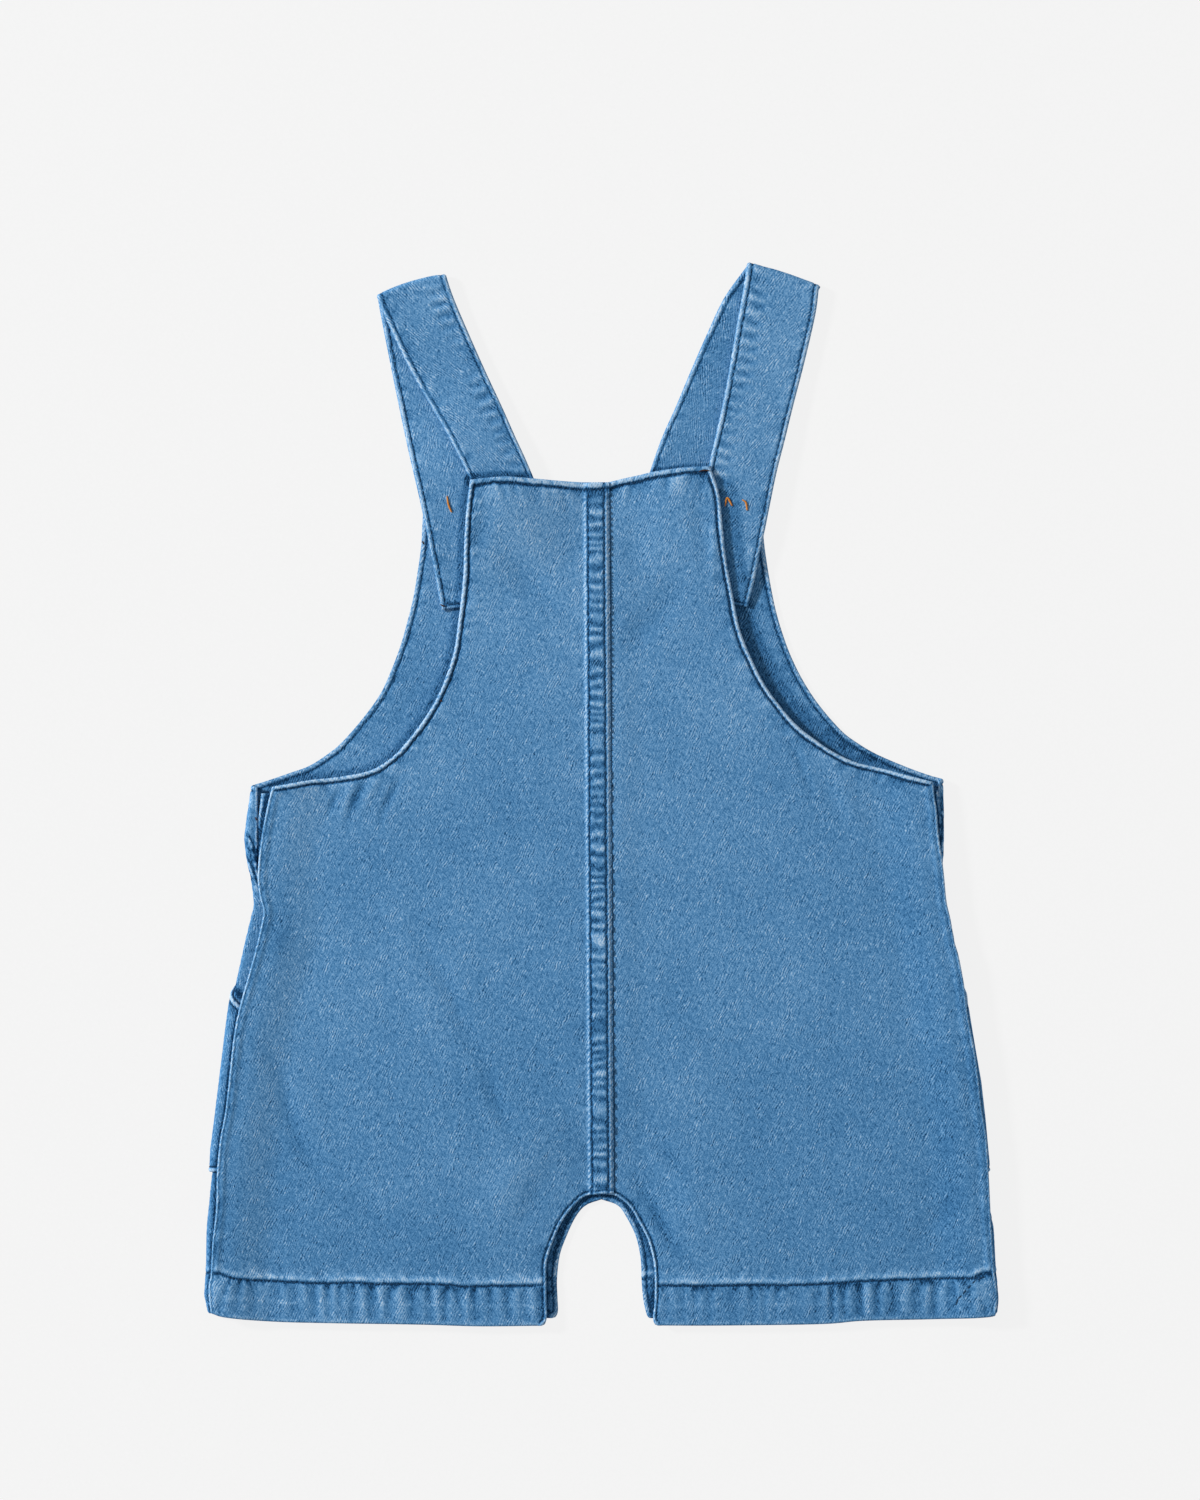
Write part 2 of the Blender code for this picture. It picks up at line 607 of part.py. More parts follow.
def build_front(side):
    """A front panel: bib and leg in one, curled round the side fold up to the back."""
    sign = SIDE_SIGN[side]
    side_edge = back_side_edge(side)
    rows, walls = [], []
    for seam_up, edge_out, edge_up in FRONT_BIB_SECTIONS[side]:
        inner, outer = (SEAM_OUT, seam_up), (edge_out, edge_up)
        length = math.hypot(outer[0] - inner[0], outer[1] - inner[1])
        row, row_walls = [], []
        for distance in stations(length, (0.0,), FRONT_STEPS, PANEL_COLUMNS):
            out, up = section_point(inner, outer, distance)
            row.append((sign * out, up, front_rest(sign * out, up)))
            turned = distance > length - EDGE_DEPTH - TOLERANCE
            row_walls.append(EDGE_WALL if turned else WALL)
        rows.append(row)
        walls.append(row_walls)
    for inner_out, inner_up, fold_out, fold_up in FRONT_SIDE_SECTIONS[side]:
        height = fold_height(fold_up)
        depth = POCKET_LIFT * pocket_cover(fold_out, fold_up)
        strip_out = strip_out_at(side, fold_up, side_edge)
        curl = fold_path(fold_out, strip_out, height, depth)
        inner, outer = (inner_out, inner_up), (curl[0][0], fold_up)
        length = math.hypot(outer[0] - inner[0], outer[1] - inner[1])
        hem = hem_share(fold_up)
        row, row_walls = [], []
        for distance in stations(length, (0.0,), FRONT_STEPS, PANEL_COLUMNS):
            out, up = section_point(inner, outer, distance)
            level = mix(front_rest(sign * out, up), depth,
                        smooth((out - outer[0] + FOLD_EASE_START) / FOLD_EASE_RUN))
            row.append((sign * out, up, level))
            row_walls.append(mix(WALL, HEM_WALL, hem))
        for out, z in curl[1:]:
            row.append((sign * out, fold_up, z))
            row_walls.append(mix(WALL, CURL_WALL, hem))
        rows.append(row)
        walls.append(row_walls)
    return loft("front_" + side, rows, walls, side == "right", HEM_WALL)


def build_pocket(side):
    """A patch pocket with a slanted mouth, caught in the side seam round the fold."""
    sign = SIDE_SIGN[side]
    side_edge = back_side_edge(side)
    folds = [(fold_out, up) for _, _, fold_out, up in FRONT_SIDE_SECTIONS[side]]
    rows, walls = [], []
    for inner_out, inner_up, mouth_out, mouth_up in POCKET_MOUTH_SECTIONS:
        inner, outer = (inner_out, inner_up), (mouth_out, mouth_up)
        length = math.hypot(outer[0] - inner[0], outer[1] - inner[1])
        row = []
        for distance in stations(length, (0.0,), (EDGE_DEPTH, 0.0), POCKET_COLUMNS):
            out, up = section_point(inner, outer, distance)
            row.append((sign * out, up, 0.0))
        rows.append(row)
        walls.append([WALL] * len(row))
    for inner_out, inner_up, fold_up, seam_up in POCKET_SIDE_SECTIONS:
        fold_out = edge_out_at(folds, fold_up)
        strip_out = edge_out_at(side_edge, seam_up) - POCKET_TUCK
        curl = fold_path(fold_out, strip_out, fold_height(fold_up), 0.0)
        inner, outer = (inner_out, inner_up), (curl[0][0], fold_up)
        length = math.hypot(outer[0] - inner[0], outer[1] - inner[1])
        row = []
        for distance in stations(length, (0.0,), (EDGE_DEPTH, 0.0), POCKET_COLUMNS):
            out, up = section_point(inner, outer, distance)
            row.append((sign * out, up, 0.0))
        for number in range(1, len(curl)):
            up = mix(fold_up, seam_up, number / (len(curl) - 1))
            curl = fold_path(edge_out_at(folds, up), strip_out, fold_height(up), 0.0)
            row.append((sign * curl[number][0], up, curl[number][1]))
        rows.append(row)
        walls.append([WALL] * len(row))
    return loft("pocket_" + side, rows, walls, side == "right", WALL)


def build_strap(side):
    """A shoulder strap: one ribbon, folded over at the shoulder."""
    front, back = STRAP_FRONT_SECTIONS[side], STRAP_BACK_SECTIONS[side]
    left_x, left_up, right_x, right_up = STRAP_FOLD[side]
    start_z, end_z = STRAP_FOLD_HEIGHTS[side]
    radius = abs(end_z - start_z) / 2.0
    middle_z = (start_z + end_z) / 2.0
    length = math.hypot(right_x - left_x, right_up - left_up)
    away = (-(right_up - left_up) / length, (right_x - left_x) / length)
    inset = radius + STRAP_WALL / 2.0
    sections = list(front)
    for step in range(STRAP_FOLD_STEPS + 1):
        turn = math.pi * step / STRAP_FOLD_STEPS
        push = radius * math.sin(turn) - inset
        z = middle_z + (start_z - middle_z) * math.cos(turn)
        shift_x, shift_up = away[0] * push, away[1] * push
        sections.append((left_x + shift_x, left_up + shift_up, z,
                         right_x + shift_x, right_up + shift_up, z))
    sections += list(back)
    rows = []
    for x_a, up_a, z_a, x_b, up_b, z_b in sections:
        rows.append([(mix(x_a, x_b, part), mix(up_a, up_b, part), mix(z_a, z_b, part))
                     for part in STRAP_PARTS])
    walls = [[STRAP_WALL] * len(STRAP_PARTS) for _ in rows]
    return loft("strap_" + side, rows, walls, side == "left", STRAP_WALL, centred=True)


def build_placket(side):
    """The button stand under the back's side edge at the opening."""
    sign = SIDE_SIGN[side]
    rows = []
    for inner_out, outer_out, up in PLACKET_SECTIONS[side]:
        rows.append([(sign * mix(inner_out, outer_out, part), up, PLACKET_TOP)
                     for part in (0.0, 0.5, 1.0)])
    walls = [[WALL] * 3 for _ in rows]
    return loft("placket_" + side, rows, walls, side == "left", WALL)


def build_button(side):
    """A turned button with a dished face and four holes, face down on the table."""
    centre = (SIDE_SIGN[side] * BUTTON_OUT[side], BUTTON_UP)
    mesh = bpy.data.meshes.new("button_" + side)
    mesh.from_pydata([(radius * MM, 0.0, z * MM) for radius, z in BUTTON_PROFILE],
                     [(i, i + 1) for i in range(len(BUTTON_PROFILE) - 1)], [])
    button = bpy.data.objects.new("button_" + side, mesh)
    parts.objects.link(button)
    button.location = linear_metres(centre[0], centre[1], 0.0)
    turned = button.modifiers.new("turned", "SCREW")
    turned.steps = turned.render_steps = BUTTON_FACETS
    turned.use_merge_vertices = True
    turned.merge_threshold = 0.00001
    for number in range(4):
        angle = math.radians(45.0 + 90.0 * number)
        reach = HOLE_SPACING / math.sqrt(2.0)
        place = linear_metres(centre[0] + reach * math.cos(angle),
                              centre[1] + reach * math.sin(angle), BUTTON_THICKNESS / 2.0)
        bpy.ops.mesh.primitive_cylinder_add(
            vertices=HOLE_FACETS, radius=HOLE_RADIUS * MM, depth=3.0 * BUTTON_THICKNESS * MM,
            location=place)
        cutter = bpy.context.object
        cutter.name = f"hole_{side}_{number}"
        cutter.hide_render = True
        cutter.display_type = "WIRE"
        for owner in list(cutter.users_collection):
            owner.objects.unlink(cutter)
        cutters.objects.link(cutter)
        hole = button.modifiers.new(f"hole_{number}", "BOOLEAN")
        hole.operation = "DIFFERENCE"
        hole.solver = "EXACT"
        hole.object = cutter
    return button


def finish(piece, colour, roughness):
    """Give a piece its own Principled material."""
    material = bpy.data.materials.new(piece.name)
    material.use_nodes = True
    surface = material.node_tree.nodes["Principled BSDF"]
    surface.inputs["Base Color"].default_value = colour
    surface.inputs["Roughness"].default_value = roughness
    surface.inputs["Metallic"].default_value = 0.0
    piece.data.materials.append(material)


for leftover in list(bpy.data.objects):
    bpy.data.objects.remove(leftover, do_unlink=True)
parts = bpy.data.collections.new("dungarees")
cutters = bpy.data.collections.new("cutters")
bpy.context.scene.collection.children.link(parts)
bpy.context.scene.collection.children.link(cutters)

for side in ("left", "right"):
    finish(build_front(side), DENIM_BLUE, 0.85)
    finish(build_pocket(side), DENIM_BLUE, 0.85)
    finish(build_placket(side), DENIM_INSIDE, 0.85)
    finish(build_strap(side), DENIM_BLUE, 0.85)
    finish(build_back(side), DENIM_BLUE, 0.85)
    finish(build_button(side), BUTTON_BROWN, 0.4)
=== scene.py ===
import math
import bmesh
import bpy
import numpy as np
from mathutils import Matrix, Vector
from mathutils.bvhtree import BVHTree
from mathutils.geometry import delaunay_2d_cdt


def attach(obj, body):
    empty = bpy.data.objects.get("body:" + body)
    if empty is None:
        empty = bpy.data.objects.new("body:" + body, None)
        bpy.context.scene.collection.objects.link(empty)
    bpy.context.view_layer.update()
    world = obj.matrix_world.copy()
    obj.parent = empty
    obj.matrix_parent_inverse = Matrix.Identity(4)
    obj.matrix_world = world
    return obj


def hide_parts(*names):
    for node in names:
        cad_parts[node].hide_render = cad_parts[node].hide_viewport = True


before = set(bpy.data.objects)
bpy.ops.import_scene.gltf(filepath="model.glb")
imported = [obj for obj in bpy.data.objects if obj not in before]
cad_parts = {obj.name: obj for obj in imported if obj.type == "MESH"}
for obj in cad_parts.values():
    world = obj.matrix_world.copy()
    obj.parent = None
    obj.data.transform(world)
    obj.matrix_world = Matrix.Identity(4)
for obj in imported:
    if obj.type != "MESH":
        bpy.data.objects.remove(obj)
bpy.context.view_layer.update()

mm = 0.001

# A small child's denim dungarees, laid flat with the back side up. Sizes are millimetres.
# "out" is the distance from the centre line, "up" the height over the leg hems.
garment = {
    "length": 447.5,          # leg hems to the folded shoulders
    "wall": 1.0,              # one layer of denim
    "edgeWall": 1.4,          # turned edge
    "hemWall": 1.6,           # leg hem
    "gap": 0.3,               # air between pieces
    "rest": 4.4,              # top of the back in its middle
    "foldHeight": 4.6,        # the front's side fold above the pockets
    "foldHeightLow": 5.2,     # and beside them
    "foldChangeUp": 176.0,
    "foldChangeRun": 24.0,
    "hemDepth": 16.9,         # stitch line of the leg hem over its lower edge
    "grain": 1.0,             # strength of the crumple, which every laid-out panel has
    "crumple": (              # its strength, size, slant and stretch, from large to small
        (0.16, 34, 0, 1), (0.08, 14, 0.5, 1), (0.045, 5, 0.6, 0.6), (0.022, 2.4, 0.6, 0.6)),
    "crumpleLight": 0.5,      # wear that goes with it
    "washSize": 46.0,         # slow clouds of the wash
    "turnedWidth": 4.2,       # a turned edge is thicker this far in
    "thinnest": 0.35,         # no place of a panel is thinner
    "coarse": 2.5,            # step of the edge lines that distances are measured to
}
middleUp = garment["length"] / 2
sideSign = {"left": -1.0, "right": 1.0}


def smoothStep(amount):
    amount = np.clip(amount, 0.0, 1.0)
    return amount * amount * (3.0 - 2.0 * amount)


def mix(start, end, amount):
    return start + (end - start) * amount


def bump(value, centre, halfWidth):
    return np.exp(-((value - centre) / halfWidth) ** 2)


def softNoise(x, y, size, seed):
    # smooth noise from -1 to 1, about one swing in each size
    lattice = np.random.RandomState(seed).uniform(-1.0, 1.0, (64, 64))
    gridX, gridY = np.asarray(x) / size, np.asarray(y) / size
    column, row = np.floor(gridX).astype(int), np.floor(gridY).astype(int)
    partX, partY = smoothStep(gridX - column), smoothStep(gridY - row)

    def corner(i, j):
        return lattice[(column + i) % 64, (row + j) % 64]

    lower = mix(corner(0, 0), corner(1, 0), partX)
    upper = mix(corner(0, 1), corner(1, 1), partX)
    return mix(lower, upper, partY)


def hill(x, up, place):
    centreX, centreUp, core, reach, height = place
    return height * smoothStep((reach - np.hypot(x - centreX, up - centreUp)) / (reach - core))


def crease(x, up, line):
    # how much of a crease is felt at a place, from 0 to 1
    startX, startUp, endX, endUp, halfWidth = line[:5]
    runX, runUp = endX - startX, endUp - startUp
    length = math.hypot(runX, runUp)
    along = ((x - startX) * runX + (up - startUp) * runUp) / length
    wander = 1.2 * np.sin(along / 9.0 + startX)
    aside = ((x - startX) * runUp - (up - startUp) * runX) / length + wander
    fade = smoothStep(1.0 - np.maximum(np.maximum(-along, along - length), 0.0) / 12.0)
    fade = fade * smoothStep(0.35 + np.minimum(along, length - along) / length)
    return fade * smoothStep(1.0 - np.abs(aside) / (2.0 * halfWidth))


def unit(vectors):
    return vectors / np.maximum(np.linalg.norm(vectors, axis=1), 1e-12)[:, None]


def leftOf(runs):
    # directions to the left of each run, one unit long
    return unit(np.column_stack([-runs[:, 1], runs[:, 0]]))


def lengthAlong(line):
    return np.concatenate([[0.0], np.cumsum(np.linalg.norm(np.diff(line, axis=0), axis=1))])


def closedLine(edges):
    # the outline made by a panel's edges, one after the other
    return np.vstack([edge[:-1] for edge in edges.values()])


def smoothLine(points, step):
    # a smooth line through the points, with points of its own at even steps
    points = np.array(points, float)
    ends = np.vstack([2 * points[0] - points[1], points, 2 * points[-1] - points[-2]])
    part = np.linspace(0.0, 1.0, 12, endpoint=False)[:, None]
    runs = [0.5 * (2 * b + (c - a) * part + (2 * a - 5 * b + 4 * c - d) * part ** 2
                   + (3 * b - a - 3 * c + d) * part ** 3)
            for a, b, c, d in zip(ends, ends[1:], ends[2:], ends[3:])]
    dense = np.vstack(runs + [points[-1:]])
    along = lengthAlong(dense)
    even = np.linspace(0.0, along[-1], max(2, int(round(along[-1] / step)) + 1))
    return np.column_stack([np.interp(even, along, dense[:, i]) for i in range(dense.shape[1])])


def nearest(points, line):
    # distance to a line, and how far along the line the nearest place is
    gap, along, start = np.full(len(points), 1e9), np.zeros(len(points)), 0.0
    for a, b in zip(line, line[1:]):
        run = b - a
        length = math.hypot(*run)
        part = np.clip(((points - a) @ run) / length ** 2, 0.0, 1.0)
        distance = np.hypot(*(points - a - part[:, None] * run).T)
        closer = distance < gap
        gap[closer] = distance[closer]
        along[closer] = start + part[closer] * length
        start += length
    return gap, along


def insideOf(points, outline):
    inside = np.zeros(len(points), bool)
    x, y = points.T
    for (ax, ay), (bx, by) in zip(outline, np.roll(outline, -1, axis=0)):
        if ay != by:
            crossing = (ay > y) != (by > y)
            inside ^= crossing & (x < ax + (y - ay) * (bx - ax) / (by - ay))
    return inside


def rowsBeside(line, offsets):
    # rows of points to the left of a line's run, for a seam or hem that needs them
    aside = leftOf(np.gradient(line, axis=0))
    return np.vstack([line + aside * offset for offset in offsets])


def cutCloth(edges, bands, spacing, seams=()):
    # triangles over a closed outline: rows of points along its edges and seams, a lattice inside
    outline = closedLine(edges)
    ahead, behind = np.roll(outline, -1, axis=0), np.roll(outline, 1, axis=0)
    area = np.sum(outline[:, 0] * ahead[:, 1] - ahead[:, 0] * outline[:, 1])
    if area < 0:
        outline, ahead, behind = outline[::-1], behind[::-1], ahead[::-1]
    inward = leftOf(ahead - behind)
    coarse = np.vstack([outline[::3], outline[:1]])
    rows = [outline]
    for depth in bands:
        row = outline + inward * depth
        row = row[::2] if depth > 4.0 else row
        clear = (nearest(row, coarse)[0] > depth * 0.96 - 0.05) & insideOf(row, outline[::2])
        rows.append(row[clear])
    low, high = outline.min(axis=0), outline.max(axis=0)
    x, y = np.meshgrid(np.arange(low[0], high[0], spacing),
                       np.arange(low[1], high[1], spacing * 0.866))
    x[1::2] += spacing / 2
    lattice = np.column_stack([x.ravel(), y.ravel()])
    lattice = lattice[insideOf(lattice, outline[::2])]
    lattice = lattice[nearest(lattice, coarse)[0] > bands[-1] + 0.7 * spacing]
    taken = set()             # cells of the lattice that a seam's rows already fill
    for beside in seams:
        beside = beside[insideOf(beside, outline[::2])]
        beside = beside[nearest(beside, coarse)[0] > bands[-1] + 0.3]
        taken.update(map(tuple, np.round(beside / spacing).astype(int).tolist()))
        rows.append(beside)
    cells = np.round(lattice / spacing).astype(int).tolist()
    lattice = lattice[[tuple(cell) not in taken for cell in cells]]
    points = np.vstack(rows + [lattice])
    found = delaunay_2d_cdt([Vector(point) for point in points.tolist()], [],
                            [list(range(len(outline)))], 1, 1e-7)
    places = np.array([[vert.x, vert.y] for vert in found[0]])
    faces = np.array([face for face in found[2] if len(face) == 3])
    order = np.argsort([origin[0] for origin in found[3]], kind="stable")
    renamed = np.empty(len(order), int)
    renamed[order] = np.arange(len(order))
    return {"flat": places[order], "faces": renamed[faces], "rim": len(outline)}


def cutRibbon(width, length, across, along):
    # the same for a rectangle, in four-sided faces; its rim points come first
    us, vs = np.linspace(0.0, width, across + 1), np.linspace(0.0, length, along + 1)
    grid = np.arange((across + 1) * (along + 1)).reshape(along + 1, across + 1)
    faces = np.stack([grid[:-1, :-1], grid[:-1, 1:], grid[1:, 1:], grid[1:, :-1]], -1).reshape(-1, 4)
    flat = np.stack(np.meshgrid(us, vs), -1).reshape(-1, 2)
    rim = np.concatenate([grid[0, :-1], grid[:-1, -1], grid[-1, :0:-1], grid[:0:-1, 0]])
    order = np.concatenate([rim, np.setdiff1d(grid.ravel(), rim)])
    renamed = np.empty(len(order), int)
    renamed[order] = np.arange(len(order))
    return {"flat": flat[order], "faces": renamed[faces], "rim": len(rim)}


def toMetres(x, up, z):
    return np.column_stack([x, up - middleUp, z]) * mm


def addObject(name, data):
    added = bpy.data.objects.new(name, data)
    bpy.context.scene.collection.objects.link(added)
    return added


cloths = []


def makeCloth(name, cut, backing, surface, materials, nodes, weave=None):
    # a closed piece of cloth: cut gives its right side, backing its wrong side
    facing, behind = surface(cut["flat"]), surface(backing["flat"])
    right, rightShade = facing[0], facing[2]
    wrong, wrongShade = behind[1], behind[-1]      # a fourth value is the wrong side's own wear and painted shade
    places = np.vstack([right, wrong])
    shift = len(right)
    rim = np.arange(cut["rim"])
    after = np.roll(rim, -1)
    rimFaces = np.column_stack([after, rim, rim + shift, after + shift])
    allFaces = cut["faces"].tolist() + (backing["faces"] + shift)[:, ::-1].tolist()
    allFaces += rimFaces.tolist()
    a, b, c = (places[[face[i] for face in allFaces]] for i in range(3))
    if np.sum(a * np.cross(b, c)) < 0:
        allFaces = [face[::-1] for face in allFaces]
    mesh = bpy.data.meshes.new(name)
    mesh.from_pydata(places.tolist(), [], allFaces)
    flat = np.vstack([cut["flat"], backing["flat"]])
    weave = flat if weave is None else weave(flat)
    corners = np.empty(len(mesh.loops), np.int32)
    mesh.loops.foreach_get("vertex_index", corners)
    mesh.uv_layers.new(name="cloth").data.foreach_set("uv", (weave[corners] * mm).ravel())
    worn = mesh.attributes.new("worn", "FLOAT", "POINT")
    worn.data.foreach_set("value", np.concatenate([rightShade, wrongShade]).astype(np.float32))
    for material in materials:
        mesh.materials.append(material)
    onWrongSide = np.zeros(len(allFaces), np.int32)
    onWrongSide[len(cut["faces"]):len(cut["faces"]) + len(backing["faces"])] = len(materials) - 1
    mesh.polygons.foreach_set("material_index", onWrongSide)
    mesh.shade_smooth()
    mesh.update()
    piece = addObject(name, mesh)
    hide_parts(*nodes)
    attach(piece, "root")
    size = (cut["flat"].max(axis=0) - cut["flat"].min(axis=0)) * mm
    area = size[0] * size[1]
    if cut["faces"].shape[1] == 3:
        first, second, third = (cut["flat"][cut["faces"][:, i]] for i in range(3))
        area = np.abs(np.cross(second - first, third - first)).sum() / 2 * mm * mm
    float(min(area, size[0] * size[1]))
    cloths.append(piece)


class Value:
    # wraps a socket, so that shader maths is written as Python expressions
    def __init__(self, shader, socket):
        self.shader, self.socket = shader, socket

    def maths(self, operation, first, second):
        return self.shader.node("ShaderNodeMath", {"operation": operation}, {0: first, 1: second})

    def __add__(self, other):
        return self.maths("ADD", self, other)

    def __radd__(self, other):
        return self.maths("ADD", other, self)

    def __sub__(self, other):
        return self.maths("SUBTRACT", self, other)

    def __rsub__(self, other):
        return self.maths("SUBTRACT", other, self)

    def __mul__(self, other):
        return self.maths("MULTIPLY", self, other)

    def __rmul__(self, other):
        return self.maths("MULTIPLY", other, self)


class Shader:
    # one material and the nodes added to it
    def __init__(self, name):
        self.material = bpy.data.materials.new(name)
        self.material.use_nodes = True
        self.tree = self.material.node_tree
        self.surface = self.tree.nodes["Principled BSDF"]

    def node(self, kind, settings=None, inputs=None, output=0):
        added = self.tree.nodes.new(kind)
        for setting, value in (settings or {}).items():
            if setting == "stops":
                ramp = added.color_ramp
                while len(ramp.elements) < len(value):
                    ramp.elements.new(0.5)
                for element, (place, colour) in zip(ramp.elements, value):
                    element.position, element.color = place, (*colour, 1.0)
            else:
                setattr(added, setting, value)
        for socket, value in (inputs or {}).items():
            self.set(added.inputs[socket], value)
        return Value(self, added.outputs[output])

    def set(self, socket, value):
        if isinstance(value, Value):
            self.tree.links.new(value.socket, socket)
        else:
            socket.default_value = value

    def finish(self, inputs):
        for socket, value in inputs.items():
            self.set(self.surface.inputs[socket], value)
        return self.material

    def twoTone(self, factor, dark, light):
        return self.node("ShaderNodeValToRGB", {"stops": ((0.3, dark), (0.7, light))}, {"Fac": factor})

    def noise(self, vector, scale, detail=2.0):
        return self.node("ShaderNodeTexNoise", None, {"Vector": vector, "Scale": scale, "Detail": detail})

    def stretched(self, vector, angle, along, across):
        # coordinates in steps of along and across, turned by an angle
        return self.node("ShaderNodeMapping", {"vector_type": "TEXTURE"}, {
            "Vector": vector, "Rotation": (0.0, 0.0, math.radians(angle)),
            "Scale": (along * mm, across * mm, mm)})


denim = {
    "deep": (0.006, 0.031, 0.082),      # indigo left in grooves, and the darkest painted shadows
    "dark": (0.030, 0.125, 0.285),
    "base": (0.078, 0.230, 0.445),
    "light": (0.185, 0.375, 0.610),
    "worn": (0.430, 0.590, 0.760),      # rubbed edges and painted highlights
    "middle": 0.514,                    # tone of unworn cloth: 0 is deep, 1 worn
    "wearAndShade": 0.5,                        # how far full wear and painted light move the tone
    "patches": 0.16,                    # and the wash's patches and clouds
    "clouds": 0.10,
    "twill": 0.34,                      # and the weave's rows, yarns, fibres and crumbs
    "yarns": 0.19,
    "fibres": 0.66,
    "crumbs": 0.28,
    "twillAngle": 64.0,                 # degrees from the weft
    "twillPitch": 0.98,
    "bumpDepth": 0.22,
    "roughness": 0.88,
}


def makeDenim(name, lift=0.0, fade=1.0):
    shader = Shader(name)
    weave = shader.node("ShaderNodeUVMap", {"uv_map": "cloth"})
    worn = shader.node("ShaderNodeAttribute", {"attribute_name": "worn"}, output=2)
    angle, pitch = denim["twillAngle"], denim["twillPitch"]

    def between(value, low, high, start=0.0, end=1.0):
        return shader.node("ShaderNodeMapRange", {"interpolation_type": "SMOOTHSTEP"}, {
            "Value": value, "From Min": low, "From Max": high, "To Min": start, "To Max": end})

    patches = shader.noise(shader.stretched(weave, 60.0, 7.0, 5.0), 1.0, 3.0)
    cloud = shader.noise(shader.stretched(weave, 84.0, 40.0, 18.0), 1.0, 2.0) - 0.5
    drift = shader.node("ShaderNodeTexNoise", None, {
        "Vector": shader.stretched(weave, 0.0, 5.0, 5.0), "Scale": 1.0, "Detail": 1.0}, 1)
    weave = shader.node("ShaderNodeVectorMath", {"operation": "MULTIPLY_ADD"}, {
        0: drift, 1: (0.0022, 0.0022, 0.0), 2: weave})
    twill = shader.node("ShaderNodeTexWave", {"bands_direction": "Y"}, {
        "Vector": shader.stretched(weave, angle, pitch, pitch), "Scale": 0.314,
        "Distortion": 1.6, "Detail": 2.0, "Detail Scale": 0.25}, 1) - 0.5
    rows = shader.noise(shader.stretched(weave, angle + 4.0, 2.4, 0.62), 1.0, 1.0)
    cross = shader.noise(shader.stretched(weave, angle + 56.0, 1.9, 0.60), 1.0, 1.0)
    fibre = shader.noise(shader.stretched(weave, angle - 36.0, 0.9, 0.45), 1.0, 1.0) - 0.5
    crumb = shader.noise(shader.stretched(weave, angle, 3.0, 1.5), 1.0, 2.0) - 0.5
    seen = between(patches, 0.40, 0.62, 0.25, 1.0)
    dashes = between(rows, 0.57, 0.72) - between(rows, 0.48, 0.33)
    flecks = between(cross, 0.57, 0.72) - between(cross, 0.48, 0.33)
    weaveTone = (twill * denim["twill"] * seen + dashes * denim["yarns"] * seen
                 + flecks * denim["yarns"] + fibre * denim["fibres"] + crumb * denim["crumbs"] + 0.02)
    tone = (denim["middle"] + lift + worn * denim["wearAndShade"] * fade + weaveTone
            + (patches - 0.5) * denim["patches"] + cloud * denim["clouds"])
    colour = shader.node("ShaderNodeValToRGB", {"stops": (
        (0.0, denim["deep"]), (0.24, denim["dark"]), (0.5, denim["base"]),
        (0.74, denim["light"]), (1.0, denim["worn"]))}, {"Fac": tone})
    height = weaveTone + (patches - 0.5) * 0.6
    normal = shader.node("ShaderNodeBump", None, {
        "Strength": 0.4, "Distance": denim["bumpDepth"] * mm, "Height": height})
    return shader.finish({"Base Color": colour, "Normal": normal, "Roughness": denim["roughness"],
                          "Specular IOR Level": 0.0})


trims = {                     # dark and light colour of each
    "blueThread": ((0.005, 0.024, 0.064), (0.020, 0.068, 0.145)),
    "orangeThread": ((0.420, 0.135, 0.020), (0.700, 0.300, 0.070)),
    "brownThread": ((0.030, 0.014, 0.010), (0.085, 0.040, 0.024)),
    "buttonWood": ((0.130, 0.058, 0.022), (0.320, 0.165, 0.070)),
}


def makeThread(name):
    shader = Shader(name)
    place = shader.node("ShaderNodeTexCoord", output=3)
    colour = shader.twoTone(shader.noise(place, 2600.0, 1.0), *trims[name])
    return shader.finish({"Base Color": colour, "Roughness": 0.8, "Specular IOR Level": 0.1})


def makeWood(name):
    shader = Shader(name)
    place = shader.node("ShaderNodeTexCoord", output=3)
    grain = shader.noise(shader.stretched(place, 12.0, 9.0, 0.5), 1.0, 3.0)
    return shader.finish({"Base Color": shader.twoTone(grain, *trims[name]), "Roughness": 0.45})


denimOutside = makeDenim("denimOutside")
denimInside = makeDenim("denimInside", lift=-0.02, fade=0.9)
blueThread = makeThread("blueThread")
orangeThread = makeThread("orangeThread")
brownThread = makeThread("brownThread")
buttonWood = makeWood("buttonWood")
print("materials made")

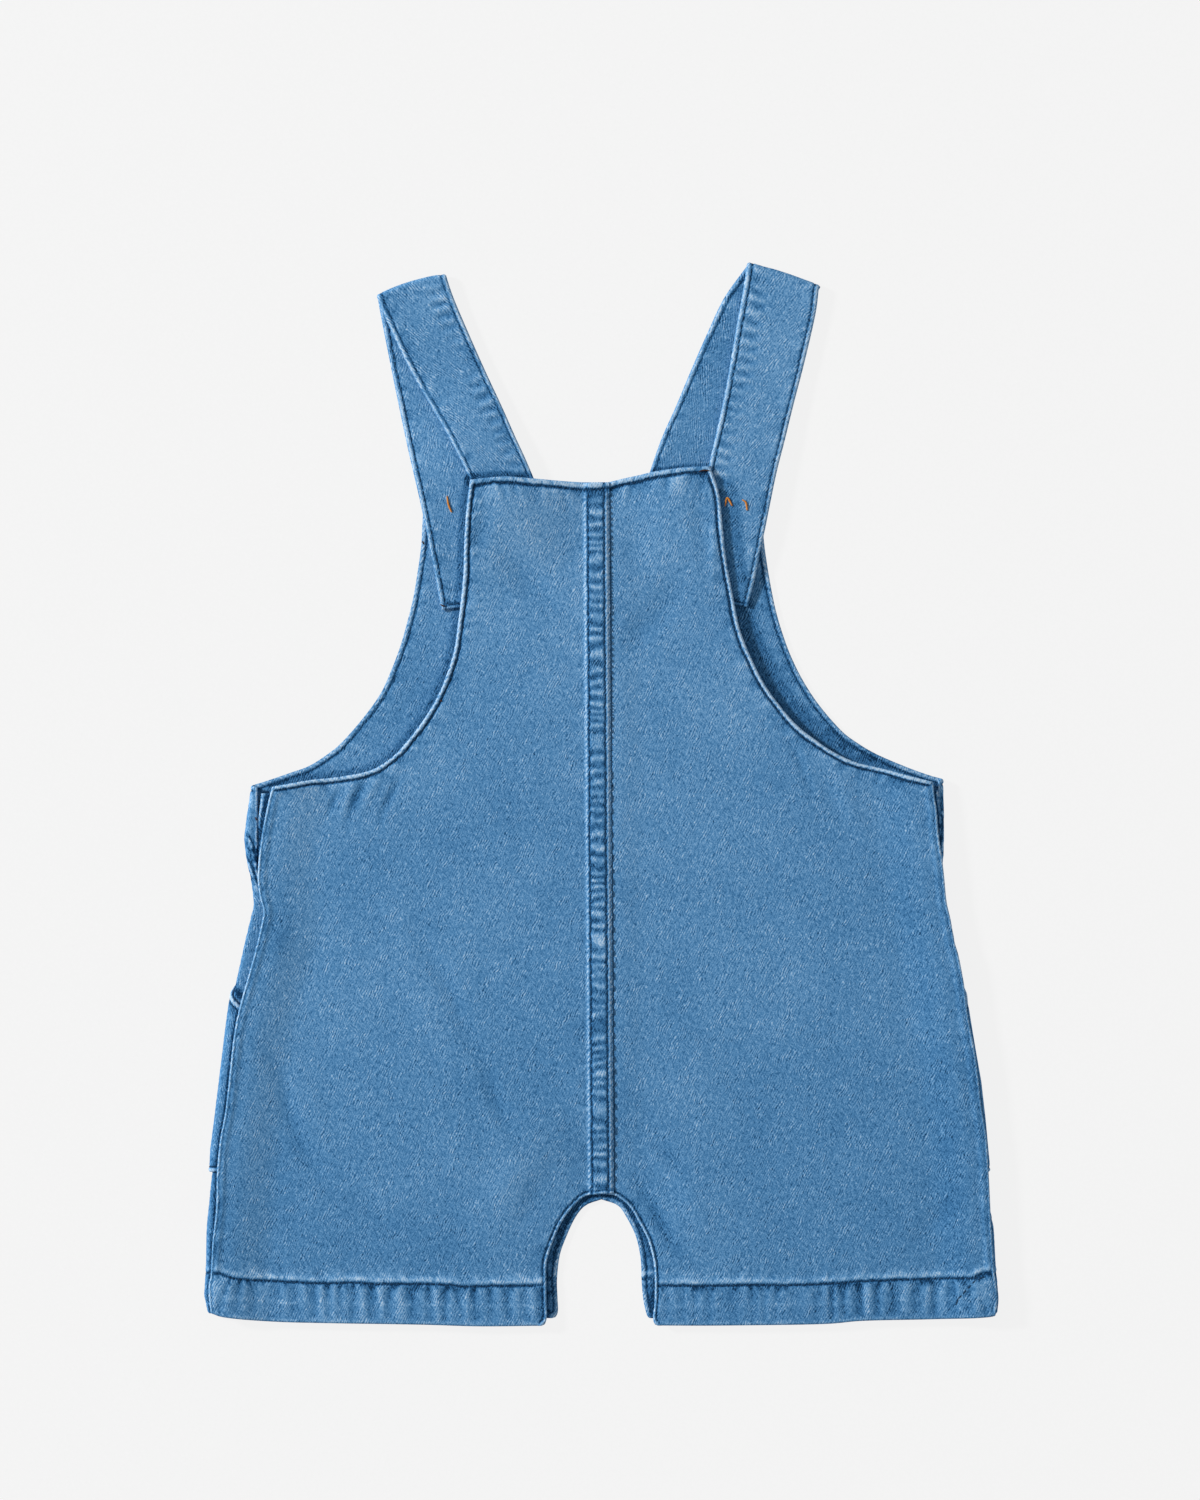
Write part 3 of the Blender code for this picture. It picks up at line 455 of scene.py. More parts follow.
edging = {                    # turned and topstitched edges; lengths across start at the edge
    "drop": 0.55,             # the edge rounds down by this much
    "notchDepth": 0.22,       # small dark gathers in the roll
    "notchDark": 0.75,
    "puckerPitch": 5.2,
    "puckerHeight": 0.24,
    "puckerLight": 0.50,
    "wobbleLight": 0.22,      # uneven rubbing along the roll
    "fineLight": 0.20,
    "rimWidth": 0.7,
    "corner": 3.4,            # so near to an edge, the relief of a nearer edge takes over
    "values": (               # "line" is where the stitches run
        "line", "wander", "lineWidth", "lineDepth", "lineDark", "rollHeight", "twistPitch",
        "twistHeight", "twistLight", "light", "notches", "puckers", "puckerReach"),
    "styles": {
        # narrow and twisted: armholes
        "rope": (2.10, 0.17, 0.52, 0.42, 1.60, 0.36, 2.6, 0.12, 0.42, 0.72, 0.45, 0.85, 8.0),
        # folded and pressed, with no stitches beside: sides and strips
        "plain": (1.20, 0.16, 0.50, 0.10, 0.30, 0.18, 3.4, 0.03, 0.12, 0.58, 0.20, 0.40, 7.0),
        # thin and rolled: the arch between the legs
        "narrow": (1.50, 0.14, 0.50, 0.30, 1.00, 0.30, 2.9, 0.06, 0.25, 0.70, 0.30, 0.50, 6.0),
        # wider and gathered: the top edge
        "band": (2.75, 0.34, 0.66, 0.55, 1.85, 0.34, 3.4, 0.05, 0.10, 0.62, 0.75, 1.30, 12.0),
        # flat: straps and pockets
        "hemmed": (1.95, 0.14, 0.42, 0.34, 1.45, 0.26, 3.1, 0.05, 0.12, 0.78, 0.45, 0.90, 6.0)},
}
edgeStyles = {name: dict(zip(edging["values"], style)) for name, style in edging["styles"].items()}


def stitchDepth(along, seed, style):
    # distance from the edge to its row of stitches
    wander = softNoise(along, 0.0, 7.0, seed) + 0.6 * softNoise(along, 0.0, 2.2, seed + 5)
    return edgeStyles[style]["line"] + edgeStyles[style]["wander"] * wander


def turnedEdge(gap, along, seed, style, strength=1.0):
    # relief and wear beside a turned and topstitched edge
    e = edgeStyles[style]
    wobble = softNoise(along, 0.0, 7.0, seed)
    fine = softNoise(along, gap * 2.0, 1.7, seed + 1)
    line = stitchDepth(along, seed, style)
    across = np.clip(gap / (line - 0.35), 0.0, 1.0)
    dome = np.sqrt(np.clip(1.0 - (2.0 * across - 1.0) ** 2, 0.0, 1.0))
    twist = np.sin(2 * math.pi * (along / e["twistPitch"] + 0.42 * gap + 0.35 * wobble))
    notch = np.clip(2.2 * softNoise(along + 0.5 * gap, 0.0, 1.9, seed + 6) - 0.3, 0.0, 1.0)
    notch = notch * e["notches"]
    groove = bump(gap, line, e["lineWidth"])
    outside = smoothStep(1.0 - (gap - line) / e["puckerReach"]) * (gap > line)
    pucker = softNoise(along + 0.35 * gap, gap * 0.16, edging["puckerPitch"] / 2, seed + 2)
    pucker = pucker * e["puckers"]
    height = (e["rollHeight"] * (1.0 + 0.25 * wobble) + e["twistHeight"] * twist) * dome
    height -= e["lineDepth"] * groove + edging["notchDepth"] * notch * dome
    height += edging["puckerHeight"] * pucker * outside * smoothStep((gap - line) / 1.2)
    height -= edging["drop"] * (1.0 - smoothStep(gap / 0.7)) ** 2
    light = e["light"] + e["twistLight"] * twist
    light = light + edging["wobbleLight"] * wobble + edging["fineLight"] * fine
    shade = dome * (light - edging["notchDark"] * notch) - e["lineDark"] * groove
    shade += outside * (edging["puckerLight"] * pucker - 0.05)
    return height * strength, shade * strength


def turnedEdges(near, styles, seed, strength=1.0, worn=None, square=None):
    # the same for all edges of a panel: worn is one edge's name, the extra lightening along it
    # and where it lies (wear on the pocket's mouth, a painted highlight on the back's armholes);
    # square the edge that ends straight at its corners
    nearestEdge = np.minimum.reduce([gap for gap, _ in near.values()])
    height, shade = 0.0, 0.0
    for number, (name, style) in enumerate(styles):
        gap, along = near[name]
        rise, wearAndShade = turnedEdge(gap, along, seed + 7 * number, style, strength)
        mine = smoothStep(0.5 + (nearestEdge - gap + 0.4) / 0.8)
        if name == square:
            mine = gap <= nearestEdge + 0.4
        keep = np.where(gap < edging["corner"], mine, 1.0)
        if worn and name == worn[0]:
            wearAndShade = wearAndShade + worn[1] * bump(gap, worn[2], edging["rimWidth"])
        height, shade = height + rise * keep, shade + wearAndShade * keep
    return height, shade


seam = {
    "rowNear": 2.3,           # stitch rows of the centre-back seam, from the lap's edge
    "rowFar": 9.1,
    "lapWidth": 8.6,
    "rampEnd": 10.9,
    "lapTopX": 3.2,
    "lapFootX": 5.2,
    "lapTopUp": 354.7,
    "lapFootUp": 55.8,
    "barPitch": 4.7,
    "barHeight": 0.30,
    "twistPitch": 2.3,
    "thinEdge": 0.62,         # the lap is pressed thinner towards its edge
    "besideRise": 0.45,       # and the seam's bulk lifts the cloth beside it
    "grooveDepth": 0.30,
    "grooveDark": 1.35,
    "barLight": 1.20,
    "barDark": (0.42, 0.62),  # between the bars, low and high on the seam
    "edgeHeight": 0.20,       # roll at the lap's edge
    "edgeLight": 0.60,
    "ridgeHeight": 0.24,      # ridge just past the far stitch row
    "ridgeLight": 0.50,
    "beyondReach": 5.0,       # puckers past the seam
    "beyondHeight": 0.10,
    "beyondLight": 0.22,
}


def lapEdge(up):
    part = (up - seam["lapFootUp"]) / (seam["lapTopUp"] - seam["lapFootUp"])
    return mix(seam["lapFootX"], seam["lapTopX"], part)


def seamDrift(up, seed):
    return 0.14 * softNoise(up, 9.0, 3.0, seed + 6)


def felledSeam(inward, up, seed):
    # relief and wear across the lapped seam; inward is the distance from the lap's edge
    s = seam
    wobble = softNoise(up, 0.0, 8.0, seed)
    slide = 3.4 * softNoise(up, 0.0, 12.0, seed + 1) + 1.2 * softNoise(up, inward, 5.0, seed + 2)
    wave = np.sin(2 * math.pi * (up + slide) / s["barPitch"])
    bars = ((wave + 1.0) / 2.0) ** 1.3 * (0.75 + 0.35 * softNoise(up, 3.0, 6.0, seed + 3))
    bars = bars + 0.22 * softNoise(up, inward, 1.6, seed + 5)
    between = smoothStep((inward - s["rowNear"]) / 1.0) * smoothStep((s["rowFar"] - inward) / 1.0)
    drift = seamDrift(up, seed)
    grooves = bump(inward, s["rowNear"] + drift, 0.44) + bump(inward, s["rowFar"] + drift, 0.50)
    edge = bump(inward, 0.95, 0.62) * (inward > 0)
    twist = np.sin(2 * math.pi * (up / s["twistPitch"] + 0.45 * inward + 0.4 * wobble))
    ridge = bump(inward, s["rowFar"] + 1.15, 0.55)
    height = s["barHeight"] * (bars - 0.4) * between - s["grooveDepth"] * grooves
    height += s["edgeHeight"] * edge * (1.0 + 0.25 * twist) + (s["ridgeHeight"] + 0.12 * twist) * ridge
    height -= s["thinEdge"] * (1.0 - smoothStep(inward / 1.7)) * (inward >= 0)
    dark = mix(*s["barDark"], smoothStep((up - 150.0) / 120.0))
    shade = (s["barLight"] * bars - dark) * between - s["grooveDark"] * grooves
    shade += edge * (s["edgeLight"] + 0.40 * twist) + ridge * (s["ridgeLight"] + 0.55 * twist)
    past = inward - s["rowFar"] - 2.0
    beyond = smoothStep(1.0 - past / s["beyondReach"]) * (past > 0)
    pucker = softNoise(up, inward * 0.15, 2.6, seed + 4)
    height += s["beyondHeight"] * pucker * beyond
    shade += s["beyondLight"] * pucker * beyond
    return height, shade


hem = {
    "ripplePitch": 7.2,
    "rippleSlant": 0.04,
    "rippleHeight": 0.34,
    "ridge": 1.9,             # the hem's inner fold lies this far over the stitch line
    "ridgeHeight": 0.26,
    "turnUnder": 8.4,         # raw edge inside the hem, under the stitch line
    "grooveDepth": 0.46,
    "grooveDark": 1.5,
    "rippleLight": 0.46,
    "puckerHeight": 0.18,     # above the stitches
    "puckerLight": 0.30,
    "glint": 0.45,
    "ridgeLight": 0.50,
    "notchDark": 0.8,         # at the stitches
    "edgeLight": 0.26,        # rubbed lower edge
    "turnedHeight": 0.10,     # raw edge inside, showing through
    "turnedLight": 0.20,
}


def hemStitchDepth(along, seed):
    wander = 0.30 * softNoise(along, 0.0, 10.0, seed) + 0.16 * softNoise(along, 0.0, 2.6, seed + 6)
    return garment["hemDepth"] + wander


def legHem(gap, along, seed):
    # relief and wear of the leg hem; gap is the distance from its lower edge
    h = hem
    wobble = softNoise(along, 0.0, 10.0, seed)
    stitch = hemStitchDepth(along, seed)
    below = stitch - gap
    slide = 3.6 * softNoise(along, gap * 0.2, 15.0, seed + 1) + h["rippleSlant"] * gap
    wave = np.sin(2 * math.pi * (along + slide) / h["ripplePitch"])
    wave += 0.8 * softNoise(along, gap * 0.10, 2.2, seed + 5)
    near = smoothStep((gap - 0.8) / 3.0) * smoothStep((below - 0.5) / 1.0)
    near *= 0.55 + 0.45 * smoothStep((9.5 - below) / 6.0)
    strength = 0.6 + 0.5 * softNoise(along, 5.0, 17.0, seed + 2)
    groove = bump(gap, stitch, 0.50)
    ridge = bump(gap, stitch + h["ridge"], 1.05)
    above = smoothStep(1.0 - (-below - 1.2) / 7.0) * (below < -1.0)
    pucker = softNoise(along + 0.4 * gap, gap * 0.2, 2.4, seed + 3)
    glint = np.clip(2.4 * softNoise(along + 0.7 * gap, gap * 0.3, 0.9, seed + 7) - 0.6, 0.0, 1.0)
    turned = bump(below, h["turnUnder"] + 0.5 * wobble, 0.6)
    edge = bump(gap, 0.9, 0.8)
    height = h["rippleHeight"] * wave * near * strength - h["grooveDepth"] * groove
    height += h["ridgeHeight"] * ridge * (1.0 + 0.3 * wobble)
    height += h["puckerHeight"] * pucker * above + h["turnedHeight"] * turned
    height -= 0.6 * (1.0 - smoothStep(gap / 0.9)) ** 2
    notch = np.clip(2.4 * softNoise(along, gap * 0.4, 1.5, seed + 9) - 0.2, 0.0, 1.0)
    notch = notch * bump(below, 1.1, 1.3)
    shade = (h["rippleLight"] * wave - 0.07) * near * strength
    shade += ridge * (h["ridgeLight"] + 0.25 * wobble)
    shade -= h["grooveDark"] * groove + h["notchDark"] * notch
    shade += (h["puckerLight"] * pucker + h["glint"] * glint) * above
    shade += edge * (h["edgeLight"] + 0.30 * softNoise(along, 1.0, 3.5, seed + 4))
    shade += turned * (h["turnedLight"] + 0.35 * softNoise(along, 2.0, 2.0, seed + 8))
    return height, shade


stitching = {
    "pitch": 2.9,
    "stations": (0.0, 0.16, 0.5, 0.84, 1.0),     # rings of a stitch, as parts of its length
    "lift": (-0.34, -0.02, 0.08, -0.02, -0.34),  # over the cloth, as it dips in at both ends
    "girth": (0.12, 0.25, 0.28, 0.25, 0.12),
    "length": 2.35,
    "sides": 6,
}


def insetLine(line, depth, outline):
    # a line at some depth inside an outline's edge
    aside = leftOf(np.gradient(line, axis=0))
    middle = len(line) // 2
    turned = 1.0 if insideOf((line[middle] + 2.0 * aside[middle])[None], outline)[0] else -1.0
    return line + turned * aside * np.reshape(depth, (-1, 1))


def sewRow(surface, line, trim=(2.6, 2.6)):
    # one stitch after another along a line on the flat cloth: stations x sides of points each
    s = stitching
    along = lengthAlong(line)
    count = int((along[-1] - sum(trim)) / s["pitch"])
    starts = trim[0] + (np.arange(count) + 0.15) * s["pitch"]
    where = (starts[:, None] + np.array(s["stations"]) * s["length"]).ravel()

    def on(shift, aside=0.0):
        here = np.column_stack([np.interp(where + shift, along, line[:, i]) for i in range(2)])
        there = np.column_stack([np.interp(where + shift + 0.1, along, line[:, i]) for i in range(2)])
        run = there - here
        return here + np.column_stack([-run[:, 1], run[:, 0]]) * 10.0 * aside

    centre = surface(on(0.0))[0]
    ahead = unit(surface(on(0.5))[0] - surface(on(-0.5))[0])
    across = unit(surface(on(0.0, 0.9))[0] - surface(on(0.0, -0.9))[0])
    normal = unit(np.cross(across, ahead))
    outward = centre - surface(on(0.0))[1]
    normal *= np.where(np.sum(normal * outward, axis=1) < 0.0, -1.0, 1.0)[:, None]
    lift, girth = (np.tile(s[name], count)[:, None] * mm for name in ("lift", "girth"))
    turns = np.linspace(0.0, 2 * math.pi, s["sides"], endpoint=False)
    rings = [centre + normal * lift + girth * (math.cos(turn) * across + math.sin(turn) * normal)
             for turn in turns]
    return np.stack(rings, axis=1).reshape(count, -1, 3)


def threadFaces(stations, sides):
    # faces of one stitch or thread, over its rings of points
    ring = np.arange(sides)
    after = np.roll(ring, -1)
    faces = [ring.tolist()[::-1]]
    for number in range(stations - 1):
        low, high = number * sides, (number + 1) * sides
        faces += np.column_stack([low + ring, low + after, high + after, high + ring]).tolist()
    return faces + [(ring + (stations - 1) * sides).tolist()]


def makeThreads(name, runs, material):
    # runs of stitches as one piece; each run holds stitches of the same number of points
    sides = stitching["sides"]
    places, faces = [], []
    for run in runs:
        for stitch in run:
            shift = len(places)
            template = threadFaces(len(stitch) // sides, sides)
            places += stitch.tolist()
            faces += [[shift + corner for corner in face] for face in template]
    mesh = bpy.data.meshes.new(name)
    mesh.from_pydata(places, [], faces)
    mesh.materials.append(material)
    shape = bmesh.new()
    shape.from_mesh(mesh)
    bmesh.ops.recalc_face_normals(shape, faces=shape.faces)
    shape.to_mesh(mesh)
    shape.free()
    mesh.shade_smooth()
    piece = addObject(name, mesh)
    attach(piece, "root")


def sewEdges(surface, edges, panel, side):
    # rows of stitches along a panel's sewn edges and leg hem
    outline, seed, rows = closedLine(edges), panel["seed"][side], []
    for number, (name, style) in enumerate(panel["styles"]):
        if name in panel["sewn"]:
            depth = stitchDepth(lengthAlong(edges[name]), seed + 7 * number, style)
            rows.append(sewRow(surface, insetLine(edges[name], depth, outline)))
    if "hem" in edges:
        depth = hemStitchDepth(lengthAlong(edges["hem"]), seed + 40)
        rows.append(sewRow(surface, insetLine(edges["hem"], depth, outline), (1.0, 2.0)))
    return rows


back = {
    "seed": {"left": 11, "right": 57},
    "spacing": 1.05,
    "edgeStep": 0.62,
    "bands": (0.25, 0.55, 0.9, 1.3, 1.7, 2.0, 2.3, 2.65, 3.15, 3.9, 4.8),
    "seamRows": {             # rows of points beside the lap's edge
        "left": (4.8, 5.6, 6.4, 7.2, 7.9, 8.4, 8.75, 9.1, 9.45, 9.85, 10.3, 10.8, 11.4, 12.1),
        "right": (-0.15, -0.45, -0.8, -1.2, -1.7, -2.4)},
    "styles": (("top", "band"), ("armhole", "rope"), ("side", "plain"), ("arch", "narrow")),
    "sewn": ("top", "armhole"),
    "hemRows": (15.4, 16.0, 16.5, 16.9, 17.3, 17.8, 18.4, 19.0, 19.7, 20.5),
    "lift": 0.5,              # the back over the front's side fold
    "shelf": 7.0,             # level strip along the side edges
    "reach": 26.0,
    "underarm": {"left": 226.8, "right": 228.9},
    "overUnderarm": 16.0,     # the shelf ends this far over it
    "hemSwell": 0.4,
    "wash": 0.05,             # strength of the wash's slow clouds
    "backing": {"bands": (0.8, 2.0), "spacing": 3.0},      # points of the wrong side
    "hills": (                # x, up, core radius, outer radius, height
        (-50, 356, 8, 52, 4.4), (48, 347, 14, 45, 2.3), (2, 352, 10, 40, 0.4), (0.5, 55, 5, 45, -2.1),
        (-24, 18, 4, 34, -0.6), (24, 18, 4, 34, -0.6)),
    "creases": (              # start x, up, end x, up, half width, height, tone: painted shade along a crease, painted highlight along a ridge
        (-97, 233, -106, 213, 1.2, -0.45, -0.62), (-85, 231, -92, 212, 1.3, -0.45, -0.5),
        (-110, 226, -114, 214, 1.1, -0.4, -0.45), (-91, 235, -99.5, 217, 1.4, 0.35, 0.42),
        (-102.5, 230, -110, 213, 1.3, 0.3, 0.3), (50, 336, 52.5, 318, 1.2, -0.4, -0.55),
        (45.5, 338, 48, 312, 1.5, 0.35, 0.24), (76, 249, 90, 222, 1.6, -0.35, -0.22),
        (96, 238, 112, 206, 3, 0.3, 0.05), (90, 232, 101, 214, 2.4, -0.25, -0.08),
        (-133, 174, -136, 152, 4.5, -0.8, -0.2), (-77, 166, -55, 120, 2.8, -0.4, -0.13),
        (-56, 122, -32, 70, 2.8, -0.4, -0.16), (-84, 158, -62, 112, 5, 0.3, 0.05),
        (-145, 122, -114, 52, 3, -0.35, -0.15), (-121, 62, -88, 40, 3.4, -0.35, -0.09),
        (-132, 118, -112, 66, 5, 0.25, 0.05), (14, 60, 35, 29, 2.3, -0.5, -0.5),
        (24, 80, 37, 58, 2.6, -0.4, -0.26), (25, 80, 46, 38, 3, 0.3, 0.08),
        (-20, 66, -41, 36, 4, -0.35, -0.1), (-30, 74, -48, 48, 5, 0.3, 0.06),
        (158, 64, 131, 33, 3.4, -0.35, -0.1), (-50, 332, -13, 294, 4.2, -0.4, -0.1),
        (-44, 344, -8, 306, 5, 0.35, 0.09), (37, 320, 9, 281, 4.6, -0.45, -0.15),
        (-47, 346, -52, 322, 3, -0.35, -0.2), (30, 338, 12, 310, 5, 0.25, 0.05),
        (39, 356, 45, 318, 3, -0.35, -0.14), (70, 100, 40, 118, 6, -0.3, -0.05)),
    "paintedPatches": (                # painted light and shade patches: x, up, core radius, outer radius, tone
        (-44, 336, 6, 30, 0.16), (24, 334, 8, 38, 0.06), (-101, 225, 3, 15, -0.2), (62, 256, 8, 40, 0.1),
        (-66, 352, 4, 16, 0.1), (-31, 58, 6, 34, 0.12), (-140, 36, 8, 40, -0.09), (140, 44, 6, 40, -0.06),
        (-30, 152, 8, 34, 0.07), (86, 150, 12, 60, 0.06), (-30, 262, 8, 44, -0.08),
        (-78, 104, 8, 40, -0.05)),
    "paintedShadow": (                 # painted shadow: beside which edge, reach, strength, between these heights
        ("right", "armhole", 9.6, 0.5, 236, 356), ("left", "armhole", 3.4, 0.45, 0, 400),
        ("left", "top", 3, 0.7, 0, 400), ("right", "top", 1.6, 0.5, 0, 400),
        ("left", "arch", 4.4, 0.6, 27, 80), ("right", "arch", 1.3, 0.4, 0, 80),
        ("right", "arch", 2.2, 0.8, -9, 17), ("left", "arch", 1.6, 0.8, -9, 27),
        ("left", "side", 1.3, 0.8, 0, 134), ("right", "side", 1.1, 0.6, 0, 140)),
    "rim": {"left": 0.10, "right": 0.45},          # painted highlight along the armholes' edges, stronger on the right, whose edge faces away from the lamp
    "sideSlopeLight": {"left": 0.10, "right": -0.10},   # and painted light on the left, painted shade on the right, where the back dips beside the side folds, against the lamp's shading of those slopes
    # painted light falloff: lighter at the top, darker at the leg hems
    "topLight": 0.10,
    "footShade": -0.07,
    "top": {                  # from the seam out: x, up
        "left": ((3.2, 354.7), (-7.8, 354.7), (-17.9, 355.3), (-30.9, 356.4), (-41.4, 357),
                 (-55.2, 355.7)),
        "right": ((-4.8, 354.5), (2.3, 354.7), (9, 356.2), (16.2, 357.8), (23.7, 359.5), (33.4, 360.8),
                  (45.6, 361.6))},
    "armhole": {              # from the top corner to the underarm: out, up
        "left": ((55.2, 355.7), (56.7, 343.1), (57.6, 330), (58, 317.1), (59.1, 305.3), (60.4, 294.8),
                 (62, 283.9), (65.3, 273.4), (69.5, 263.6), (75.4, 254.1), (82.5, 244.9), (88.8, 238.6),
                 (97.2, 233.7), (109, 231.2), (124, 229.4), (138.4, 226.8)),
        "right": ((45.6, 361.6), (49.4, 349.9), (51, 335.2), (52.7, 320.9), (55.7, 304.9), (57.8, 294.4),
                  (59.6, 289), (62.4, 282.2), (68.7, 269.6), (77.1, 258.3), (83.4, 251.6), (90.1, 246.5),
                  (96.8, 241.9), (106.5, 237.3), (119.9, 234), (130, 231.2), (139.2, 228.9))},
    "side": {                 # from the underarm to the hem: out, up
        "left": ((138.4, 226.8), (140.1, 219.7), (142.2, 209.2), (143.6, 199.5), (144.4, 189.4),
                 (143.6, 181), (142, 175), (142.6, 170), (145.5, 157.5), (148.9, 145.3), (152, 134),
                 (154.1, 123.5), (155.8, 109.6), (157.7, 92), (160.1, 78.5), (161.4, 65.5), (161.6, 55),
                 (162, 47), (163.2, 37), (163.7, 29), (164.1, 21.4), (164.8, 18.5), (164.9, 12.5),
                 (164, 5.9)),
        "right": ((139.2, 228.9), (139.9, 222), (140.8, 216.3), (141.3, 209.2), (142.2, 202),
                  (143, 196.6), (143.9, 188.6), (144.9, 178.5), (146.6, 170.9), (148.1, 162.1),
                  (149.8, 156.2), (151.4, 148.3), (152.5, 141.5), (153.9, 130.2), (156.3, 118),
                  (158.1, 105.4), (159.5, 92.5), (161.5, 80.2), (162.3, 68.5), (163, 55), (163.5, 44),
                  (164.3, 33), (164.9, 24), (165.5, 19), (166.2, 12.5), (165.6, 6.2))},
    "hem": {                  # from the side to the arch: out, up
        "left": ((164, 5.9), (157.7, 4), (138.4, 2.1), (112.8, 1.4), (76.7, 0.8), (51, 0.1),
                 (25.2, 0.3)),
        "right": ((165.6, 6.2), (162.8, 4.2), (140.9, 3.1), (110.3, 2.4), (91.8, 1), (49.4, 0.4),
                  (23.6, 0.4))},
    "arch": {                 # from the hem up to the seam: x, up
        "left": ((-25.2, 0.3), (-23.7, 1.3), (-22.9, 4.5), (-23.1, 10), (-23.2, 18.4), (-23, 26.5),
                 (-20.8, 34.5), (-17.5, 42.2), (-13.2, 48.7), (-7.6, 54.2), (-2, 55.4), (5.2, 55.8)),
        "right": ((23.6, 0.4), (22.2, 1.3), (21.6, 4.2), (22.2, 9), (22.4, 17.6), (21.9, 26.5),
                  (19.6, 35.8), (15.8, 43.5), (12, 50), (6.8, 54.4), (2.3, 55.4), (-2.8, 55.8))},
}


def foldHeight(up):
    low = smoothStep((garment["foldChangeUp"] - up) / garment["foldChangeRun"])
    return mix(garment["foldHeight"], garment["foldHeightLow"], low)


def levelAt(line, up):
    # how far out an edge line is at a height; its points run from the top down
    line = np.array(line)[::-1]
    return np.interp(up, line[:, 1], line[:, 0])


def backRest(x, up):
    height = np.full_like(x, garment["rest"])
    for place in back["hills"]:
        height += hill(x, up, place)
    for line in back["creases"]:
        height += line[5] * crease(x, up, line)
    return height


def paintedFalloff(up):
    # painted light falloff: darker at the leg hems, lighter at the top
    return mix(back["footShade"], back["topLight"], smoothStep((up - 40.0) / 300.0))


def backPaintedShading(x, up):
    # painted light and shade over the back: the falloff from hems to top, painted shade along creases,
    # painted highlights along ridges, and painted patches
    tone = paintedFalloff(up)
    for line in back["creases"]:
        tone = tone + line[6] * crease(x, up, line)
    for place in back["paintedPatches"]:
        tone = tone + hill(x, up, place)
    return tone


def clothRelief(x, up, seed):
    # the soft crumple
    height = 0.0
    for number, (strength, size, slant, stretch) in enumerate(garment["crumple"]):
        height = height + strength * softNoise(x + slant * up, up * stretch, size, seed + number)
    return height * garment["grain"]


def washNoise(x, up, strength, seed):
    # slow clouds of the wash
    return strength * softNoise(x, up, garment["washSize"], seed + 80)


def paintedShadowUnderBack(x, up):
    # soft painted shadow on what lies just beside the back's edges, which stand over it
    flat, paintedShadow = np.column_stack([x, up]), 0.0
    for side, name, reach, strength, lowUp, highUp in back["paintedShadow"]:
        near = nearest(flat, backEdges(side, garment["coarse"])[name])[0]
        within = smoothStep((up - lowUp) / 6.0 + 0.5) * smoothStep((highUp - up) / 6.0 + 0.5)
        paintedShadow = paintedShadow + strength * smoothStep((reach - near) / (0.35 * reach)) * within
    return paintedShadow


def backEdges(side, step):
    mirror = np.array([sideSign[side], 1.0])
    edges = {"top": smoothLine(back["top"][side], step)}
    for name in ("armhole", "side", "hem"):
        edges[name] = smoothLine(np.array(back[name][side]) * mirror, step)
    edges["arch"] = smoothLine(back["arch"][side], step)
    edges["middle"] = smoothLine([edges["arch"][-1], edges["top"][0]], step)
    return edges


def nearestOf(flat, edges, names):
    return {name: nearest(flat, edges[name]) for name in names}


def leastGap(near, styles):
    # distance to the nearest turned edge
    return np.minimum.reduce([near[name][0] for name, _ in styles])


